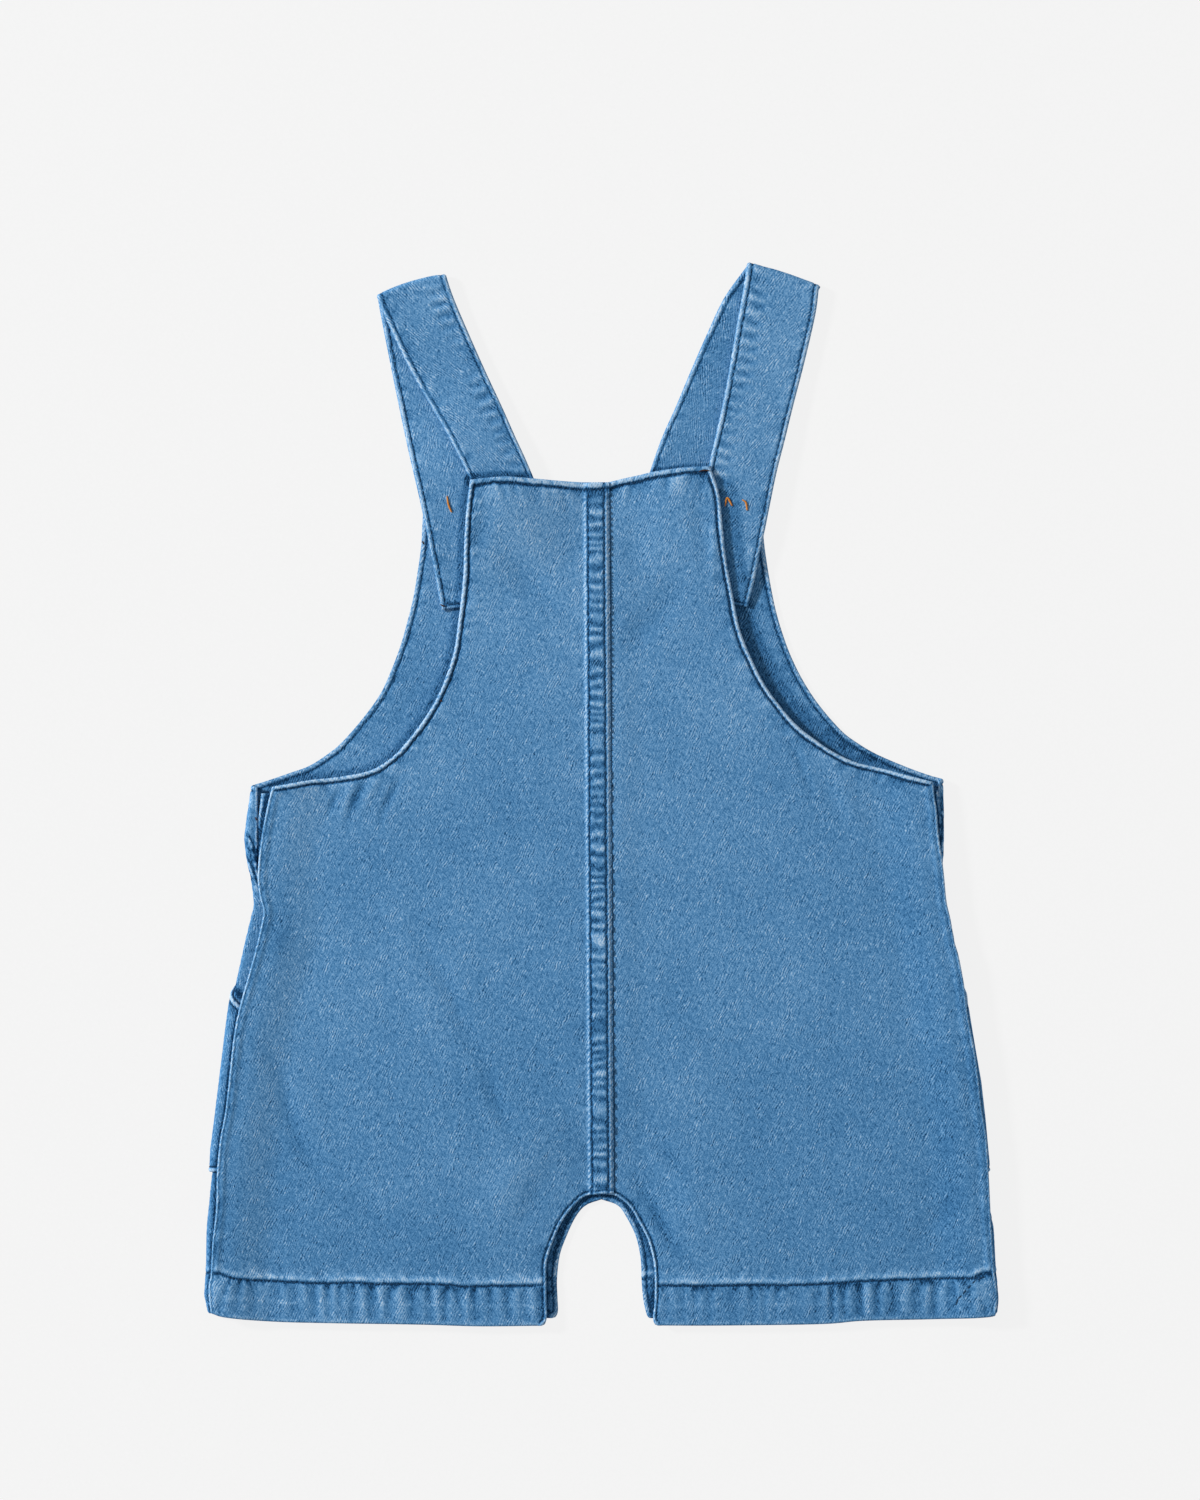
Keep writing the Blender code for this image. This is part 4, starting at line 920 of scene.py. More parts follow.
def backSurface(side):
    seed, coarse = back["seed"][side], backEdges(side, garment["coarse"])

    def surface(flat):
        x, up = flat.T
        near = nearestOf(flat, coarse, ("top", "armhole", "side", "hem", "arch"))
        turned = leastGap(near, back["styles"])
        inHem = smoothStep((garment["hemDepth"] + 5.0 - up) / 3.5)
        inEdge = smoothStep((garment["turnedWidth"] - turned) / 1.6)
        wall = mix(garment["wall"], garment["edgeWall"], inEdge)
        wall = mix(wall, garment["hemWall"], inHem)
        sideGap = levelAt(back["side"][side], up) - x * sideSign[side]
        beside = smoothStep((back["reach"] - sideGap) / (back["reach"] - back["shelf"]))
        beside *= smoothStep((back["underarm"][side] + back["overUnderarm"] - up) / 14.0)
        base = backRest(x, up) + back["hemSwell"] * inHem
        base = mix(base, foldHeight(up) + back["lift"] + wall, beside)
        crumple = clothRelief(x, up, seed)
        # the armholes' edges get a painted highlight, stronger on the right
        height, shade = turnedEdges(near, back["styles"], seed, square="top",
                                    worn=("armhole", back["rim"][side], 0.6))
        height = height + crumple * smoothStep(turned / 6.0)
        rise, wearAndShade = legHem(*near["hem"], seed + 40)
        inSide = smoothStep((turned - 0.4) / 1.8)
        height, shade = height + rise * inSide, shade + wearAndShade * inSide
        inward = lapEdge(up) - x
        if side == "left":
            lapped = (seam["rampEnd"] - inward) / (seam["rampEnd"] - seam["lapWidth"] + 0.4)
            base += (garment["wall"] + garment["gap"]) * smoothStep(lapped)
            clearTop = smoothStep((near["top"][0] - 1.5) / 2.0)
            rise, wearAndShade = felledSeam(inward, up, seed + 70)
            height = height + rise * mix(0.4, 1.0, clearTop)
            shade = shade + wearAndShade * mix(0.7, 1.0, clearTop)
        else:
            bulk = smoothStep((-inward - 0.1) / 0.8) * smoothStep((14.0 + inward) / 11.0)
            height = height + seam["besideRise"] * bulk
            # painted shadow along the foot of the lap's edge
            shade = shade - 0.3 * bump(inward, -0.30, 0.50)
        shade = shade + washNoise(x, up, back["wash"], seed) + garment["crumpleLight"] * crumple
        # painted light and shade of the back, and on its side slopes
        shade = shade + backPaintedShading(x, up) + back["sideSlopeLight"][side] * 4.0 * beside * (1.0 - beside)
        topZ = base + height
        under = base - wall + 0.25 * (1.0 - smoothStep(turned / 0.9))
        under = np.minimum(under, topZ - garment["thinnest"])
        return toMetres(x, up, topZ), toMetres(x, up, under), np.clip(shade, -1.0, 1.0)

    return surface


def makeBack(side):
    edges = backEdges(side, back["edgeStep"])
    lap = smoothLine([(lapEdge(60.0), 60.0), (lapEdge(349.0), 349.0)], back["edgeStep"])
    hemLine = smoothLine(edges["hem"], back["edgeStep"])[::-1 if side == "right" else 1]
    seams = [rowsBeside(lap, back["seamRows"][side]), rowsBeside(hemLine, back["hemRows"])]
    cut = cutCloth(edges, back["bands"], back["spacing"], seams)
    backing = cutCloth(edges, **back["backing"])
    makeCloth("backPanel_" + side, cut, backing, backSurface(side), [denimOutside, denimInside],
              ["back_" + side])


def sewBack(side):
    surface = backSurface(side)
    rows = sewEdges(surface, backEdges(side, back["edgeStep"]), back, side)
    if side == "left":
        up = np.arange(seam["lapFootUp"] + 1.0, seam["lapTopUp"] - 3.0, 0.5)
        for row in (seam["rowNear"], seam["rowFar"]):
            x = lapEdge(up) - row - seamDrift(up, back["seed"][side] + 70)
            rows.append(sewRow(surface, np.column_stack([x, up]), (0.5, 0.5)))
    makeThreads("backStitches_" + side, rows, blueThread)


for side in ("left", "right"):
    makeBack(side)
    sewBack(side)
print("back panels made and sewn")

front = {
    "seed": {"left": 111, "right": 157},
    "spacing": 1.5,
    "edgeStep": 0.7,
    "bands": (0.3, 0.65, 1.05, 1.5, 1.95, 2.3, 2.7, 3.4, 4.4),
    "styles": (("top", "rope"), ("armhole", "rope"), ("strip", "plain"), ("arch", "rope"),
               ("middle", "rope")),
    "sewn": ("top", "armhole", "arch"),
    "sink": 0.32,             # right side over the table between its highest threads
    "wash": 0.05,
    "relief": 0.8,            # share of the edges' relief, as the front lies under the back
    "crumpleShare": 0.6,      # and of the crumple
    "pocketLift": 1.3,        # over a pocket, from where it starts to where it is full
    "overPocket": {"out": (40.0, 58.0), "foot": (38.0, 57.0), "top": (200.0, 182.0)},
    "bibLift": 2.1,
    "bibRadii": (13.0, 34.0),  # round a button, where it is full and where it ends
    "twistPitch": 2.6,
    "twistHeight": 0.35,
    "twistLight": 0.85,
    "top": 352.4,
    "armhole": {              # from the bib's corner to the underarm: out, up
        "left": ((73.3, 352.4), (75, 341.5), (75.8, 328.4), (77.5, 316.3), (79.2, 306.2), (81.7, 296.1),
                 (84.6, 286), (88.4, 275.9), (93, 265.9), (100.2, 255.8), (109, 245.7), (114.9, 240.7),
                 (122.9, 235.6), (130.8, 232.7), (138.6, 230), (145.3, 227.9)),
        "right": ((65.7, 352.4), (67.4, 341.5), (68.3, 330.1), (69.5, 321.3), (71.2, 311.2),
                  (73.3, 301.1), (76.2, 291.1), (80, 281), (85.1, 270.9), (91.8, 260.8), (100.6, 250.7),
                  (106.9, 245.7), (115.3, 240.7), (127, 235.6), (135.9, 232.3), (141.6, 230.6))},
    "fold": {                 # side fold from the underarm to the hem: out, up
        "left": ((147.6, 226.8), (149.3, 216), (150.6, 205), (149, 190), (147.8, 177), (151, 164),
                 (155.2, 145), (157.3, 134.8), (159.2, 120), (161.1, 104.6), (163, 89), (164.9, 74.3),
                 (165.4, 64.3), (166.3, 56), (166.5, 48), (166.5, 40), (166.6, 32.5), (166.7, 25.5),
                 (167, 19.5), (167.4, 13), (165.8, 5.6)),
        "right": ((143.9, 229.7), (144.3, 218), (144.3, 205), (144.2, 189), (147, 176), (149.9, 163.5),
                  (152.8, 145), (154.6, 134.8), (157.4, 118), (160.2, 102), (162, 86), (163.4, 69.3),
                  (163.9, 58), (164.6, 49), (165.3, 42), (165.6, 36), (165.9, 29.5), (166.2, 24.5),
                  (166.6, 19.5), (167.4, 11), (166.6, 5.2))},
    "arch": {                 # from the hem up to the seam: out, up
        "left": ((20.9, 3.2), (19.2, 3.9), (18.3, 6.4), (18.5, 12), (18.7, 19.7), (17.6, 29.4), (15, 37),
                 (11.1, 45.4), (6.7, 50.6), (0, 53.2)),
        "right": ((20.8, 3.2), (19.6, 3.7), (18.7, 5.8), (17.6, 11), (16.9, 18.5), (16.5, 28),
                  (14.5, 37.5), (10.7, 45.4), (6.9, 50.6), (0, 53.2))},
    "opening": {"left": (189.0, 144.5), "right": (206.0, 142.9)},   # foot up, strip's edge out
    "twists": {               # rolled folds over the side below the openings: out, up
        "left": (((150.2, 206.5), (147.7, 203.3), (146.0, 196.0), (144.4, 188.0)),
                 ((150.2, 197.0), (147.6, 192.0), (144.4, 183.5))),
        "right": (((143.3, 216.0), (144.9, 213.5), (144.3, 207.0), (143.4, 200.0)),)},
    "hollows": {              # painted shade in the dark places between them, painted light on a few: out, up, core radius, outer radius, tone
        "left": ((145.9, 200, 0.6, 2.2, -1.6), (145.2, 196.5, 0.6, 2, -1.6),
                 (144.9, 192.5, 0.4, 1.6, -1.3), (146.8, 187.5, 0.4, 1.6, -0.7),
                 (148.4, 221, 1.5, 6, 0.35), (150.4, 204, 0.6, 5, -0.35)),
        "right": ((143.4, 220, 1, 5, -0.5), (142.4, 210, 0.5, 1.6, -1.4), (142.7, 205, 0.5, 1.6, -1.4))},
    "tuck": 4.0,
    "button": {"left": (-60.7, 345.2), "right": (56.5, 345.2)},
}


def pocketCover(out, up):
    # 1 where the front lies on a pocket, 0 well clear of it
    cover = 1.0
    for value, name in ((out, "out"), (up, "foot"), (up, "top")):
        start, end = front["overPocket"][name]
        cover = cover * smoothStep((value - start) / (end - start))
    return cover


def frontLevel(x, up):
    lift = front["pocketLift"] * pocketCover(np.abs(x), up)
    for centre in front["button"].values():
        lift = lift + hill(x, up, (*centre, *front["bibRadii"], front["bibLift"]))
    return lift


def foldFacts(side, up, depth):
    # centre of the side fold's bend, its height, and the radius of a layer depth inside
    height = foldHeight(up)
    centre = levelAt(front["fold"][side], up) - height / 2
    return centre, height, height / 2 - depth


def foldPlace(side, flat, depth, inset, level):
    # a point of a layer that curls round the side fold; inset goes from its right side inwards
    s, up = flat.T
    centre, height, radius = foldFacts(side, up, depth)
    turn = np.clip((s - centre) / radius, 0.0, math.pi)
    past = np.maximum(s - centre - math.pi * radius, 0.0)
    out = np.where(s < centre, s, centre + (radius - inset) * np.sin(turn) - past)
    z = height / 2 - (radius - inset) * np.cos(turn)
    flatZ = mix(level, depth, smoothStep((s - centre + 12.0) / 10.0)) + inset
    z = np.where(s < centre, flatZ, z)
    return toMetres(sideSign[side] * out, up, z)


def stripEnd(side, up, depth, tuck, opening):
    # how far a layer reaches, measured along the cloth
    centre, _, radius = foldFacts(side, up, depth)
    tucked = levelAt(back["side"][side], up) - tuck
    if opening:
        openUp, openOut = opening
        tucked = mix(tucked, openOut, smoothStep((up - openUp + 6.0) / 8.0))
    return centre + math.pi * radius + centre - np.minimum(tucked, centre - garment["gap"])


def frontDepth(side, up):
    return front["pocketLift"] * pocketCover(levelAt(front["fold"][side], up), up)


def frontEdges(side, step):
    topUp, footUp = front["fold"][side][0][1], front["fold"][side][-1][1]
    ups = np.linspace(topUp, footUp, 60)
    ends = stripEnd(side, ups, frontDepth(side, ups), front["tuck"], front["opening"][side])
    underarm = [(ends[0] - 3.0, topUp + 0.3), (ends[0], topUp)]
    armhole = smoothLine(list(front["armhole"][side]) + underarm, step)
    strip = smoothLine(np.column_stack([ends, ups]), step)
    arch = smoothLine(front["arch"][side], step)
    hemLine = smoothLine([strip[-1], (150.0, 5.3), (80.0, 4.5), (30.0, 3.4), arch[0]], step)
    top = smoothLine([(0.0, front["top"]), armhole[0]], step)
    middle = smoothLine([arch[-1], top[0]], step)
    return {"top": top, "armhole": armhole, "strip": strip, "hem": hemLine, "arch": arch,
            "middle": middle}


def seenOut(side, s, up, depth):
    # how far out a place of the cloth lies, and whether it lies on top of the side fold
    centre, _, radius = foldFacts(side, up, depth)
    turn = np.clip((s - centre) / radius, 0.0, math.pi)
    curled = centre + radius * np.sin(turn) - np.maximum(s - centre - math.pi * radius, 0.0)
    return np.where(s < centre, s, curled), smoothStep((s - centre) / radius - 1.3)


def openingFolds(side, out, up):
    # relief of the rolled folds over the side fold, lighter along each fold, with painted shade in the
    # groove beside it and painted light and shade in the places between them
    height, shade = 0.0, 0.0
    for line in front["twists"][side]:
        gap, along = nearest(np.column_stack([out, up]), smoothLine(line, 1.0))
        twist = np.sin(2 * math.pi * along / front["twistPitch"])
        height = height + front["twistHeight"] * bump(gap, 0.0, 0.8)
        shade = shade + (front["twistLight"] + 0.35 * twist) * bump(gap, 0.0, 0.6)
        # painted shade in the groove beside each fold
        shade = shade - bump(gap, 1.1, 0.5)
    for place in front["hollows"][side]:
        shade = shade + hill(out, up, place)
    return height, shade


def paintedMouthShadow(side, s, up):
    # painted shadow: the front is darkened inside the pocket's mouth
    line = pocketEdges(side, garment["coarse"])["mouth"]
    gap = nearest(np.column_stack([s, up]), line)[0]
    return pocket["mouthShadow"] * smoothStep((pocket["mouthReach"] - gap) / 0.6)


def frontSurface(side):
    seed, coarse = front["seed"][side], frontEdges(side, garment["coarse"])

    def surface(flat):
        s, up = flat.T
        near = nearestOf(flat, coarse, coarse)
        turned = leastGap(near, front["styles"])
        height, shade = turnedEdges(near, front["styles"], seed, front["relief"])
        depth = frontDepth(side, up)
        out, over = seenOut(side, s, up, depth)
        rise, wearAndShade = openingFolds(side, out, up)
        # painted light and shade of the rolled folds, and painted shadow inside the pocket's mouth
        height, shade = height + rise * over, shade + wearAndShade * over - paintedMouthShadow(side, s, up)
        rise, wearAndShade = legHem(*near["hem"], seed + 40)
        height, shade = height + rise * smoothStep((turned - 0.4) / 1.8), shade + wearAndShade
        crumple = clothRelief(s, up, seed)
        height = height + front["crumpleShare"] * crumple * smoothStep(turned / 6.0)
        shade = shade + washNoise(s, up, front["wash"], seed) + garment["crumpleLight"] * crumple
        # painted light falloff, lighter towards the top
        shade = shade + paintedFalloff(up)
        # painted shadow of the back's edges, on the side of the front that faces up
        paintedShadow = paintedShadowUnderBack(sideSign[side] * out, up)
        level = frontLevel(sideSign[side] * s, up)
        rightInset = np.clip(front["sink"] - 0.8 * height, 0.0, 0.8)
        wrongInset = np.clip(1.05 + 0.8 * height, rightInset + garment["thinnest"], 1.25)
        right = foldPlace(side, flat, depth, rightInset, level)
        wrong = foldPlace(side, flat, depth, wrongInset, level)
        rightShade, wrongShade = shade - paintedShadow * over, shade - paintedShadow - 0.06
        return right, wrong, np.clip(rightShade, -1.0, 1.0), np.clip(wrongShade, -1.0, 1.0)

    return surface


pocket = {
    "seed": {"left": 211, "right": 257},
    "spacing": 1.5,
    "edgeStep": 0.8,
    "styles": (("mouth", "hemmed"), ("top", "hemmed"), ("inner", "hemmed"), ("lower", "hemmed")),
    "sewn": ("mouth", "top", "inner", "lower"),
    "mouth": ((146, 150.5), (128, 160.5), (108, 170)),   # slanted mouth: out, up
    "wash": 0.10,
    "mouthShadow": 2.6,
    "mouthReach": 1.35,
    "inner": ((72, 170), (70.6, 150.5), (70, 131), (70, 91), (70, 65.5)),
    "foldUp": 140.8,          # the mouth at the side fold
    "seamUp": 134.0,          # and at the side seam
    "footUp": 65.0,
    "tuck": 1.5,
}


def pocketEdges(side, step):
    ups = np.linspace(pocket["footUp"], pocket["seamUp"], 24)
    ends = stripEnd(side, ups, 0.0, pocket["tuck"], None)
    centre, _, radius = foldFacts(side, pocket["foldUp"], 0.0)
    atFold = (centre + math.pi * radius / 2, pocket["foldUp"])
    mouth = smoothLine([(ends[-1], ups[-1]), atFold] + list(pocket["mouth"]), step)
    strip = smoothLine(np.column_stack([ends, ups]), step)
    top = smoothLine([mouth[-1], pocket["inner"][0]], step)
    inner = smoothLine(pocket["inner"], step)
    lower = smoothLine([inner[-1], (110.0, 65.4), strip[0]], step)
    return {"lower": lower, "strip": strip, "mouth": mouth, "top": top, "inner": inner}


def pocketSurface(side):
    seed, coarse = pocket["seed"][side], pocketEdges(side, garment["coarse"])

    def surface(flat):
        s, up = flat.T
        near = nearestOf(flat, coarse, ("mouth", "top", "inner", "lower"))
        height, shade = turnedEdges(near, pocket["styles"], seed, worn=("mouth", 0.4, 0.7))
        crumple = clothRelief(s, up, seed)
        clear = smoothStep(leastGap(near, pocket["styles"]) / 6.0)
        height = height + front["crumpleShare"] * crumple * clear
        shade = shade + washNoise(s, up, pocket["wash"], seed) + garment["crumpleLight"] * crumple
        out, over = seenOut(side, s, up, 0.0)
        # painted shadow of the back's edges where the pocket curls up beside them
        shade = shade - over * paintedShadowUnderBack(sideSign[side] * out, up)
        inset, level = np.clip(front["sink"] - 0.8 * height, 0.0, 0.6), np.zeros_like(s)
        right = foldPlace(side, flat, 0.0, inset, level)
        wrong = foldPlace(side, flat, 0.0, np.full_like(s, 1.0), level)
        return right, wrong, np.clip(shade, -1.0, 1.0)

    return surface


def makeFolded(name, side, panel, edges, surface):
    # a front panel or pocket, which curls round the side fold, and its stitches
    cut = cutCloth(edges, front["bands"], panel["spacing"])
    makeCloth(name + "Panel_" + side, cut, cut, surface, [denimOutside, denimInside],
              [name + "_" + side],
              lambda flat: flat * np.array([sideSign[side], 1.0]))
    makeThreads(name + "Stitches_" + side, sewEdges(surface, edges, panel, side), blueThread)


for side in ("left", "right"):
    makeFolded("front", side, front, frontEdges(side, front["edgeStep"]), frontSurface(side))
    makeFolded("pocket", side, pocket, pocketEdges(side, pocket["edgeStep"]), pocketSurface(side))
print("front panels and pockets made and sewn")

strap = {
    "seed": {"left": 311, "right": 357},
    "wall": 1.4,
    "step": 0.8,
    "acrossStep": 0.7,
    "fade": {"left": 0.06, "right": -0.05},       # painted light and shade of a strap's lower run, lighter on the left, darker on the right
    "upperRunLight": {"left": 0.06, "right": 0.17},    # and painted light on its upper run, which lies over the lower one
    "crown": {"left": 1.7, "right": 0.8},         # the shoulder folds bulge in their middle
    "barPitch": 5.3,
    "barReach": 8.5,
    "barHeight": 0.30,
    "barLight": 0.34,
    "wash": 0.07,
    "washSize": 24.0,
    "relief": 0.7,
    "crumpleShare": 0.4,
    "front": {                # ribbon sections: left x, up, height, right x, up, height
        "left": ((-67.4, 301.1, 2.2, -39.3, 304.5, 2.1), (-69, 310, 2.6, -41, 313.5, 2.5),
                 (-70.4, 318.4, 3.3, -42.7, 322.3, 3.1), (-72.2, 327, 4.1, -44.3, 331, 3.7),
                 (-73.9, 336, 4.4, -46, 340, 4), (-76.5, 348, 4.5, -48.5, 353, 4.1),
                 (-78.6, 357, 4.2, -50.4, 363, 4), (-81.4, 369, 2.9, -52.5, 374, 3.1),
                 (-84.6, 384, 1.5, -55.2, 388, 1.6), (-87.7, 399, 0.9, -58, 402.5, 0.9),
                 (-90.9, 415, 0.7, -61.1, 419, 0.7), (-93.2, 427, 0.7, -63.6, 432.5, 0.7)),
        "right": ((33.4, 307, 2.1, 61.5, 302.4, 2.2), (35.3, 316, 2.6, 63.4, 309.5, 2.6),
                  (37.2, 325, 3.3, 65.2, 317.5, 3.3), (38.9, 333.5, 3.8, 66.7, 326, 4),
                  (40.6, 341.5, 4.1, 68.6, 334.5, 4.3), (42.9, 352, 4.3, 70.9, 346, 4.4),
                  (45.2, 362.5, 4.4, 73.6, 359, 4.2), (48.1, 375.1, 4.2, 76.9, 372, 3.8),
                  (51.2, 389, 3.5, 80.6, 387, 3.3), (53.9, 403.5, 3.1, 84.5, 402, 3),
                  (56.4, 418.5, 3, 88, 416.5, 3), (59.3, 434.5, 3.1, 90.3, 427.5, 3.1))},
    "back": {
        "left": ((-89.9, 421.6, 3.1, -61.9, 431.6, 3.1), (-81.1, 403.2, 2.9, -54.9, 415.2, 2.9),
                 (-72.6, 388.3, 3.4, -48.4, 400.6, 3), (-65, 375.3, 5, -41.7, 386.2, 3.4),
                 (-58.8, 363.4, 6.2, -36.3, 374, 4), (-55.6, 356.6, 6.5, -32.6, 366, 4.3),
                 (-54, 352.8, 6.5, -29.4, 358.6, 4.4), (-52.6, 349.2, 6.5, -27, 352.6, 4.4)),
        "right": ((51.6, 432.4, 0.7, 80, 419.5, 0.7), (44.4, 417.3, 0.7, 71.2, 405, 0.7),
                  (37.8, 402.3, 0.8, 63.4, 391.3, 0.8), (31.4, 387, 1.3, 57.2, 378.6, 1.3),
                  (25.6, 374, 2.5, 51.8, 369, 1.9), (21.2, 361.7, 3.5, 47.6, 361.6, 2.2),
                  (18.9, 354.2, 3.7, 45.4, 356.6, 2.3))},
    "fold": {"left": (-94.6, 433.6, -65.5, 442.3), "right": (61.6, 447.5, 91.9, 437.6)},
    "foldHeights": {"left": (0.7, 3.3), "right": (3.3, 0.7)},
}


def foldAway(side):
    # the way out over a strap's shoulder fold, one unit long
    leftX, leftUp, rightX, rightUp = strap["fold"][side]
    return np.array([leftUp - rightUp, rightX - leftX, 0.0]) / math.hypot(rightX - leftX, rightUp - leftUp)


def strapLines(side):
    # the ribbon's two borders, from its front end over the shoulder fold to its back end
    leftX, leftUp, rightX, rightUp = strap["fold"][side]
    startZ, endZ = strap["foldHeights"][side]
    radius, middleZ = abs(endZ - startZ) / 2, (startZ + endZ) / 2
    sections = list(strap["front"][side])
    for turn in np.linspace(0.0, math.pi, 7):
        pushX, pushUp, _ = foldAway(side) * (radius * math.sin(turn) - radius - strap["wall"] / 2)
        z = middleZ + (startZ - middleZ) * math.cos(turn)
        sections.append((leftX + pushX, leftUp + pushUp, z, rightX + pushX, rightUp + pushUp, z))
    sections += strap["back"][side]
    return smoothLine(sections, 0.5)


def strapSurface(side):
    seed = strap["seed"][side]
    lines = strapLines(side)
    leftLine, rightLine = lines[:, :3], lines[:, 3:]
    middle = (leftLine + rightLine) / 2
    along = lengthAlong(middle)
    width = float(np.median(np.linalg.norm(rightLine - leftLine, axis=1)))
    foldAt = float(along[np.argmax(middle[:, 1])])

    def place(u, v):
        part = (u / width)[:, None]
        crown = strap["crown"][side] * np.sin(math.pi * np.clip(part, 0.0, 1.0)) ** 0.7
        crown = crown * foldAway(side) * smoothStep(1.0 - np.abs(v - foldAt) / 14.0)[:, None]
        a = np.column_stack([np.interp(v, along, leftLine[:, i]) for i in range(3)])
        b = np.column_stack([np.interp(v, along, rightLine[:, i]) for i in range(3)])
        return a + (b - a) * part + crown

    def surface(flat):
        u, v = flat.T
        centre = place(u, v)
        across = place(u + 0.5, v) - place(u - 0.5, v)
        ahead = place(u, v + 0.6) - place(u, v - 0.6)
        normal = unit(np.cross(across, ahead))
        height, shade = 0.0, 0.0
        for number, gap in enumerate((u, width - u)):
            rise, wearAndShade = turnedEdge(gap, v, seed + 7 * number, "hemmed")
            height, shade = height + rise, shade + wearAndShade
        endGap = np.minimum(v, along[-1] - v)
        rise, wearAndShade = turnedEdge(endGap, u, seed + 21, "hemmed")
        inside = smoothStep((np.minimum(u, width - u) - 0.4) / 2.2)
        height, shade = height + rise * inside, shade + wearAndShade * inside
        crumple = clothRelief(u, v, seed)
        height = strap["relief"] * height + strap["crumpleShare"] * crumple
        uppermost = smoothStep(0.5 + (v - foldAt) / 8.0 * (1.0 if side == "left" else -1.0))
        inset = width - u if side == "left" else u
        slide = 1.6 * softNoise(v, 2.0, 9.0, seed + 31) + 0.15 * inset
        bars = np.sin(2 * math.pi * (v + slide) / strap["barPitch"]) - 0.2
        bars = bars * (0.65 + 0.6 * softNoise(v, 0.0, 14.0, seed + 32)) * uppermost
        bars = bars * smoothStep((inset - 2.4) / 1.4)
        bars = bars * smoothStep((strap["barReach"] + 2.4 - inset) / 4.0)
        height = height + strap["barHeight"] * bars
        shade = shade + strap["wash"] * softNoise(u, v, strap["washSize"], seed + 80)
        shade = shade + garment["crumpleLight"] * crumple + strap["barLight"] * bars
        # painted light and shade of each run of the strap
        shade = shade + strap["fade"][side] + strap["upperRunLight"][side] * uppermost
        # painted shadow of the back's edges
        shade = shade - paintedShadowUnderBack(centre[:, 0], centre[:, 1])
        half = strap["wall"] / 2 - 0.15
        right = centre + normal * (half + height)[:, None]
        wrong = centre - normal * (half + height)[:, None]
        return toMetres(*right.T), toMetres(*wrong.T), np.clip(shade, -1.0, 1.0)

    surface.width, surface.length = width, float(along[-1])
    return surface


def sewStrap(side):
    surface, seed = strapSurface(side), strap["seed"][side]
    width, length = surface.width, surface.length
    up = np.arange(0.0, length, 0.5)
    rows = []
    for number, edge in enumerate((0.0, width)):
        depth = stitchDepth(up, seed + 7 * number, "hemmed")
        rows.append(sewRow(surface, np.column_stack([np.abs(edge - depth), up])))
    across = np.arange(0.0, width, 0.5)
    for edge in (0.0, length):
        depth = stitchDepth(across, seed + 21, "hemmed")
        rows.append(sewRow(surface, np.column_stack([across, np.abs(edge - depth)])))
    makeThreads("strapStitches_" + side, rows, blueThread)


def makeStrap(side):
    surface = strapSurface(side)
    cut = cutRibbon(surface.width, surface.length,
                    int(surface.width / strap["acrossStep"]), int(surface.length / strap["step"]))
    makeCloth("shoulderStrap_" + side, cut, cut, surface, [denimOutside], ["strap_" + side])


for side in ("left", "right"):
    makeStrap(side)
    sewStrap(side)
print("straps made and sewn")

placket = {
    "seed": {"left": 411, "right": 457},
    "sections": {             # inner out, outer out, up
        "left": ((132, 143, 224), (133, 144.1, 214), (134, 144.1, 203), (135, 144.1, 192)),
        "right": ((130, 141.4, 225.5), (130.4, 142, 219), (130.7, 142.2, 213), (130.9, 141.6, 207.5))},
    "top": 4.5,
    "faces": (18, 50),        # across and along
    "foldPitch": 2.6,         # small folds at the upper end
    "foldHeight": 0.12,
    "foldLight": 0.3,
    "groove": {"left": 1.9, "right": 1.0},        # width of the painted shadow in the gap beside the back's edge
}


def placketSurface(side):
    sections = np.array(placket["sections"][side])[::-1]
    width = float(np.median(sections[:, 1] - sections[:, 0]))
    length = float(sections[-1, 2] - sections[0, 2])
    seed = placket["seed"][side]

    def surface(flat):
        u, v = flat.T
        up = sections[0, 2] + v
        inner, outer = (np.interp(up, sections[:, 2], sections[:, i]) for i in range(2))
        x = sideSign[side] * mix(inner, outer, u / width)
        rise, shade = turnedEdge(width - u, v, seed, "plain")
        hollow = placket["groove"][side]
        beside = np.abs(x) - levelAt(back["side"][side], up)
        rise = rise + 0.5 * bump(beside, hollow + 0.55, 0.6)
        # painted shadow in the gap beside the back's edge, painted highlight on the ridge past it
        shade = shade - 1.5 * bump(beside, hollow / 2, hollow / 2 + 0.3)
        shade = shade + 1.1 * bump(beside, hollow + 0.55, 0.5)
        folds = np.sin(2 * math.pi * v / placket["foldPitch"]) * smoothStep((v - length + 8.0) / 4.0)
        top = placket["top"] - 0.25 + 0.5 * rise + placket["foldHeight"] * folds
        shade = np.clip(shade + placket["foldLight"] * folds, -1.0, 1.0)
        return toMetres(x, up, top), toMetres(x, up, np.full_like(x, placket["top"] - 0.95)), shade

    surface.width, surface.length = width, length
    return surface


def makePlacket(side):
    surface = placketSurface(side)
    cut = cutRibbon(surface.width, surface.length, *placket["faces"])
    makeCloth("buttonStand_" + side, cut, cut, surface, [denimInside], ["placket_" + side])


for side in ("left", "right"):
    makePlacket(side)
print("plackets made")

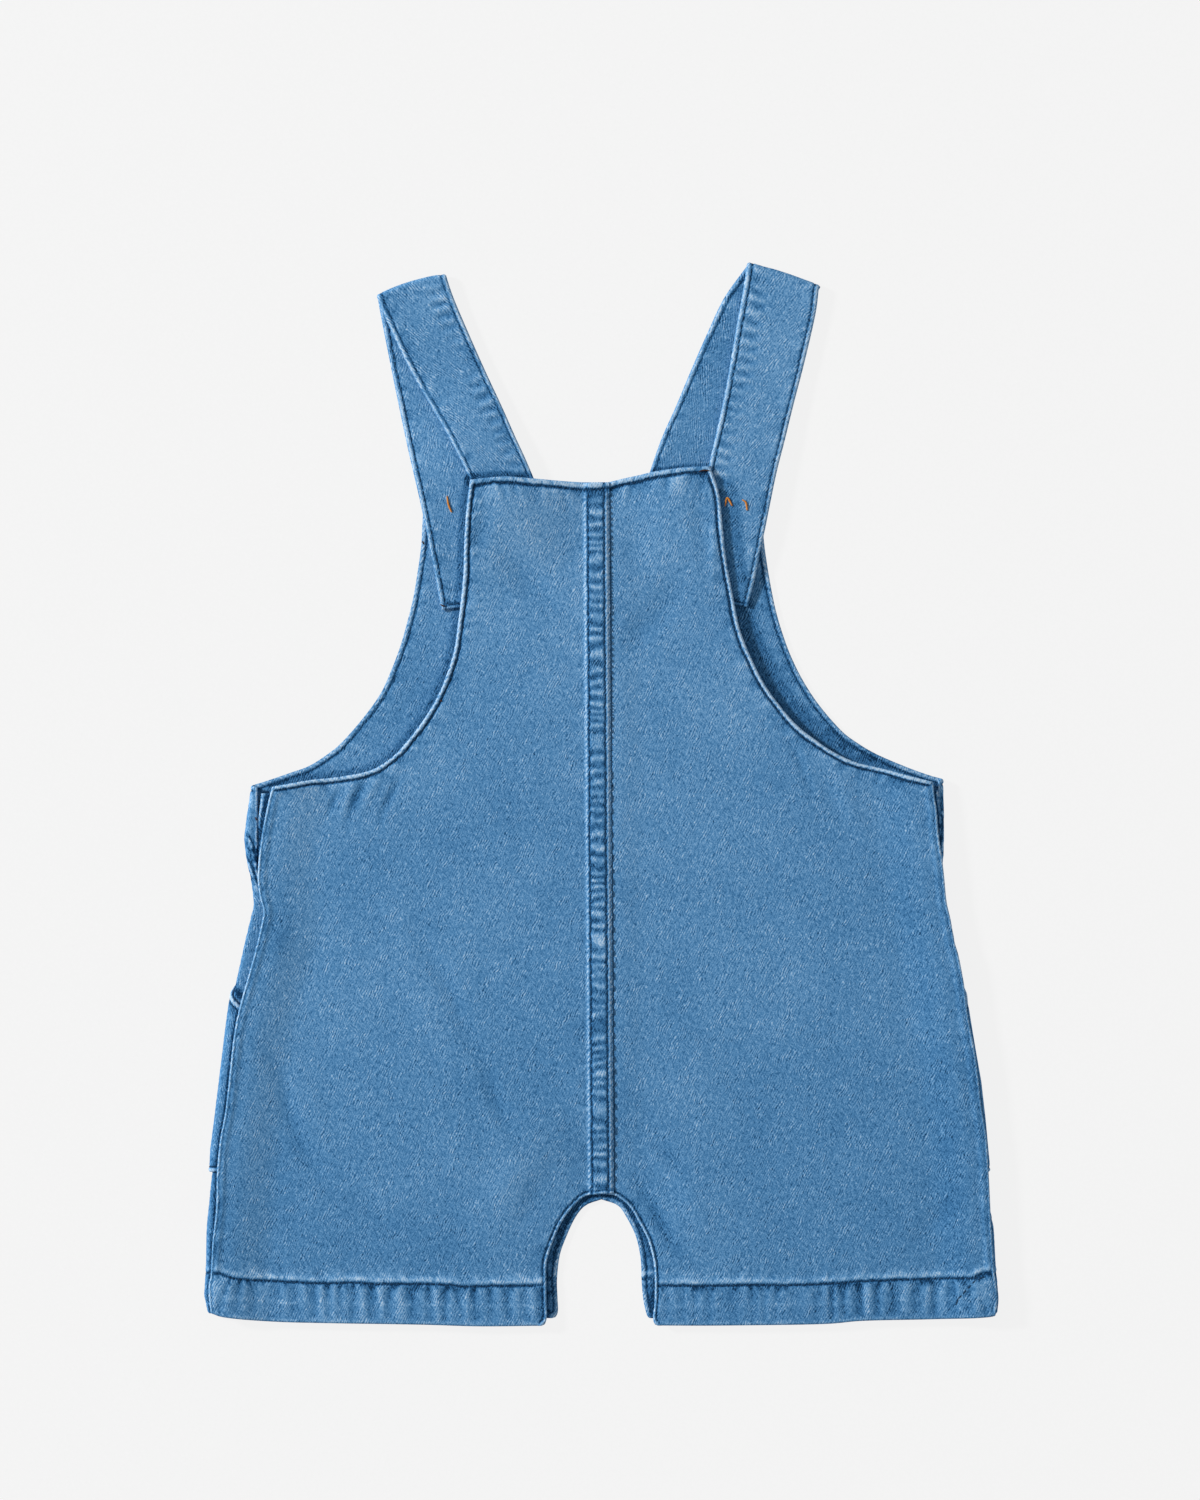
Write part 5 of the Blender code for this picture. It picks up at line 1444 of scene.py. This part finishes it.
loose = {
    "girth": {"orange": 0.42, "brown": 0.30},
    "lift": 0.20,
    "orange": (               # x, up
        ((-64.9, 349.0), (-64.3, 345.4), (-63.0, 342.1)),
        ((51.9, 344.6), (52.8, 348.2), (54.9, 344.8)),
        ((59.0, 347.4), (60.6, 346.2), (61.2, 342.9))),
    "brown": (
        ((-67.7, 303.5), (-66.8, 302.9), (-65.8, 302.7)), ((40.9, 359.2), (43.2, 359.7), (45.3, 359.4)),
        ((-75.3, 330.1), (-75.0, 329.4), (-74.9, 328.8)), ((-67.9, 263.0), (-67.4, 262.9), (-66.9, 262.8)),
        ((-145.4, 214.0), (-145.1, 213.4), (-144.9, 212.6))),
}


def looseThread(line, trees, girth):
    # a thread's end lying on the cloth: rings of points along a line
    line = smoothLine(line, 0.4)
    part = np.linspace(0.0, 1.0, len(line))
    girth = girth * np.sqrt(np.clip(1.0 - (1.6 * part - 0.9) ** 2, 0.1, 1.0))
    aside = leftOf(np.gradient(line, axis=0))
    heights = []
    for x, up in line:
        above = Vector((x * mm, (up - middleUp) * mm, 0.05))
        hits = [tree.ray_cast(above, Vector((0.0, 0.0, -1.0)))[0] for tree in trees]
        heights.append(max(hit.z for hit in hits if hit) / mm)
    rings = []
    for turn in np.linspace(0.0, 2 * math.pi, stitching["sides"], endpoint=False):
        x, up = (line + aside * (girth * math.cos(turn))[:, None]).T
        rings.append(toMetres(x, up, np.array(heights) + loose["lift"] + girth * math.sin(turn)))
    return np.stack(rings, axis=1).reshape(1, -1, 3)


def makeLooseThreads():
    graph = bpy.context.evaluated_depsgraph_get()
    trees = [BVHTree.FromObject(piece, graph) for piece in cloths]
    for name, material in (("orange", orangeThread), ("brown", brownThread)):
        ends = [looseThread(line, trees, loose["girth"][name]) for line in loose[name]]
        makeThreads(name + "ThreadEnds", ends, material)


makeLooseThreads()
for side in ("left", "right"):
    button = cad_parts["button_" + side]
    button.data.materials.clear()
    button.data.materials.append(buttonWood)
print("thread ends and button wood made")

studio = {
    "frameHeight": 630.0,     # the view at the garment, in millimetres
    "centre": (-0.63, 18.5),
    "cameraHeight": 2.4,      # metres
    "paper": 0.06,            # the table is a lit sheet of paper
    "paperGlow": 0.852,
    "sky": 0.42,
    "lamp": (-3.9, 1.5, 2.2),
    "lampSize": 0.65,
    "lampPower": 250.0,
}


def makeStudio():
    bpy.ops.object.select_all(action="DESELECT")
    bpy.ops.mesh.primitive_plane_add(size=6.0, location=(0.0, 0.0, -0.0004))
    floor = bpy.context.object
    floor.name = "floor"
    bpy.ops.object.transform_apply(location=True)
    shader = Shader("palePaper")
    place = shader.node("ShaderNodeTexCoord", output=3)
    dim, tone = (studio["paper"] - 0.01,) * 3, (studio["paper"],) * 3
    floor.data.materials.append(shader.finish({
        "Base Color": shader.twoTone(shader.noise(place, 900.0), dim, tone),
        "Roughness": 0.9, "Specular IOR Level": 0.0,
        "Emission Color": (1.0, 1.0, 1.0, 1.0), "Emission Strength": studio["paperGlow"]}))

    world = bpy.data.worlds.new("studioSky")
    world.use_nodes = True
    sky = world.node_tree.nodes["Background"].inputs
    sky["Color"].default_value = (1.0, 1.0, 1.0, 1.0)
    sky["Strength"].default_value = studio["sky"]
    bpy.context.scene.world = world

    lamp = bpy.data.lights.new("softLamp", "AREA")
    lamp.shape, lamp.size, lamp.energy = "DISK", studio["lampSize"], studio["lampPower"]
    light = addObject("softLamp", lamp)
    light.location = studio["lamp"]
    light.rotation_euler = (-Vector(studio["lamp"])).to_track_quat("-Z", "Y").to_euler()

    lens = bpy.data.cameras.new("overhead")
    lens.sensor_width = 36.0
    lens.lens = 36.0 * (studio["cameraHeight"] - 0.005) / (studio["frameHeight"] * mm)
    camera = addObject("overhead", lens)
    camera.location = (studio["centre"][0] * mm, studio["centre"][1] * mm, studio["cameraHeight"])
    bpy.context.scene.camera = camera
    bpy.context.scene.view_settings.view_transform = "Standard"


makeStudio()
print("studio made")
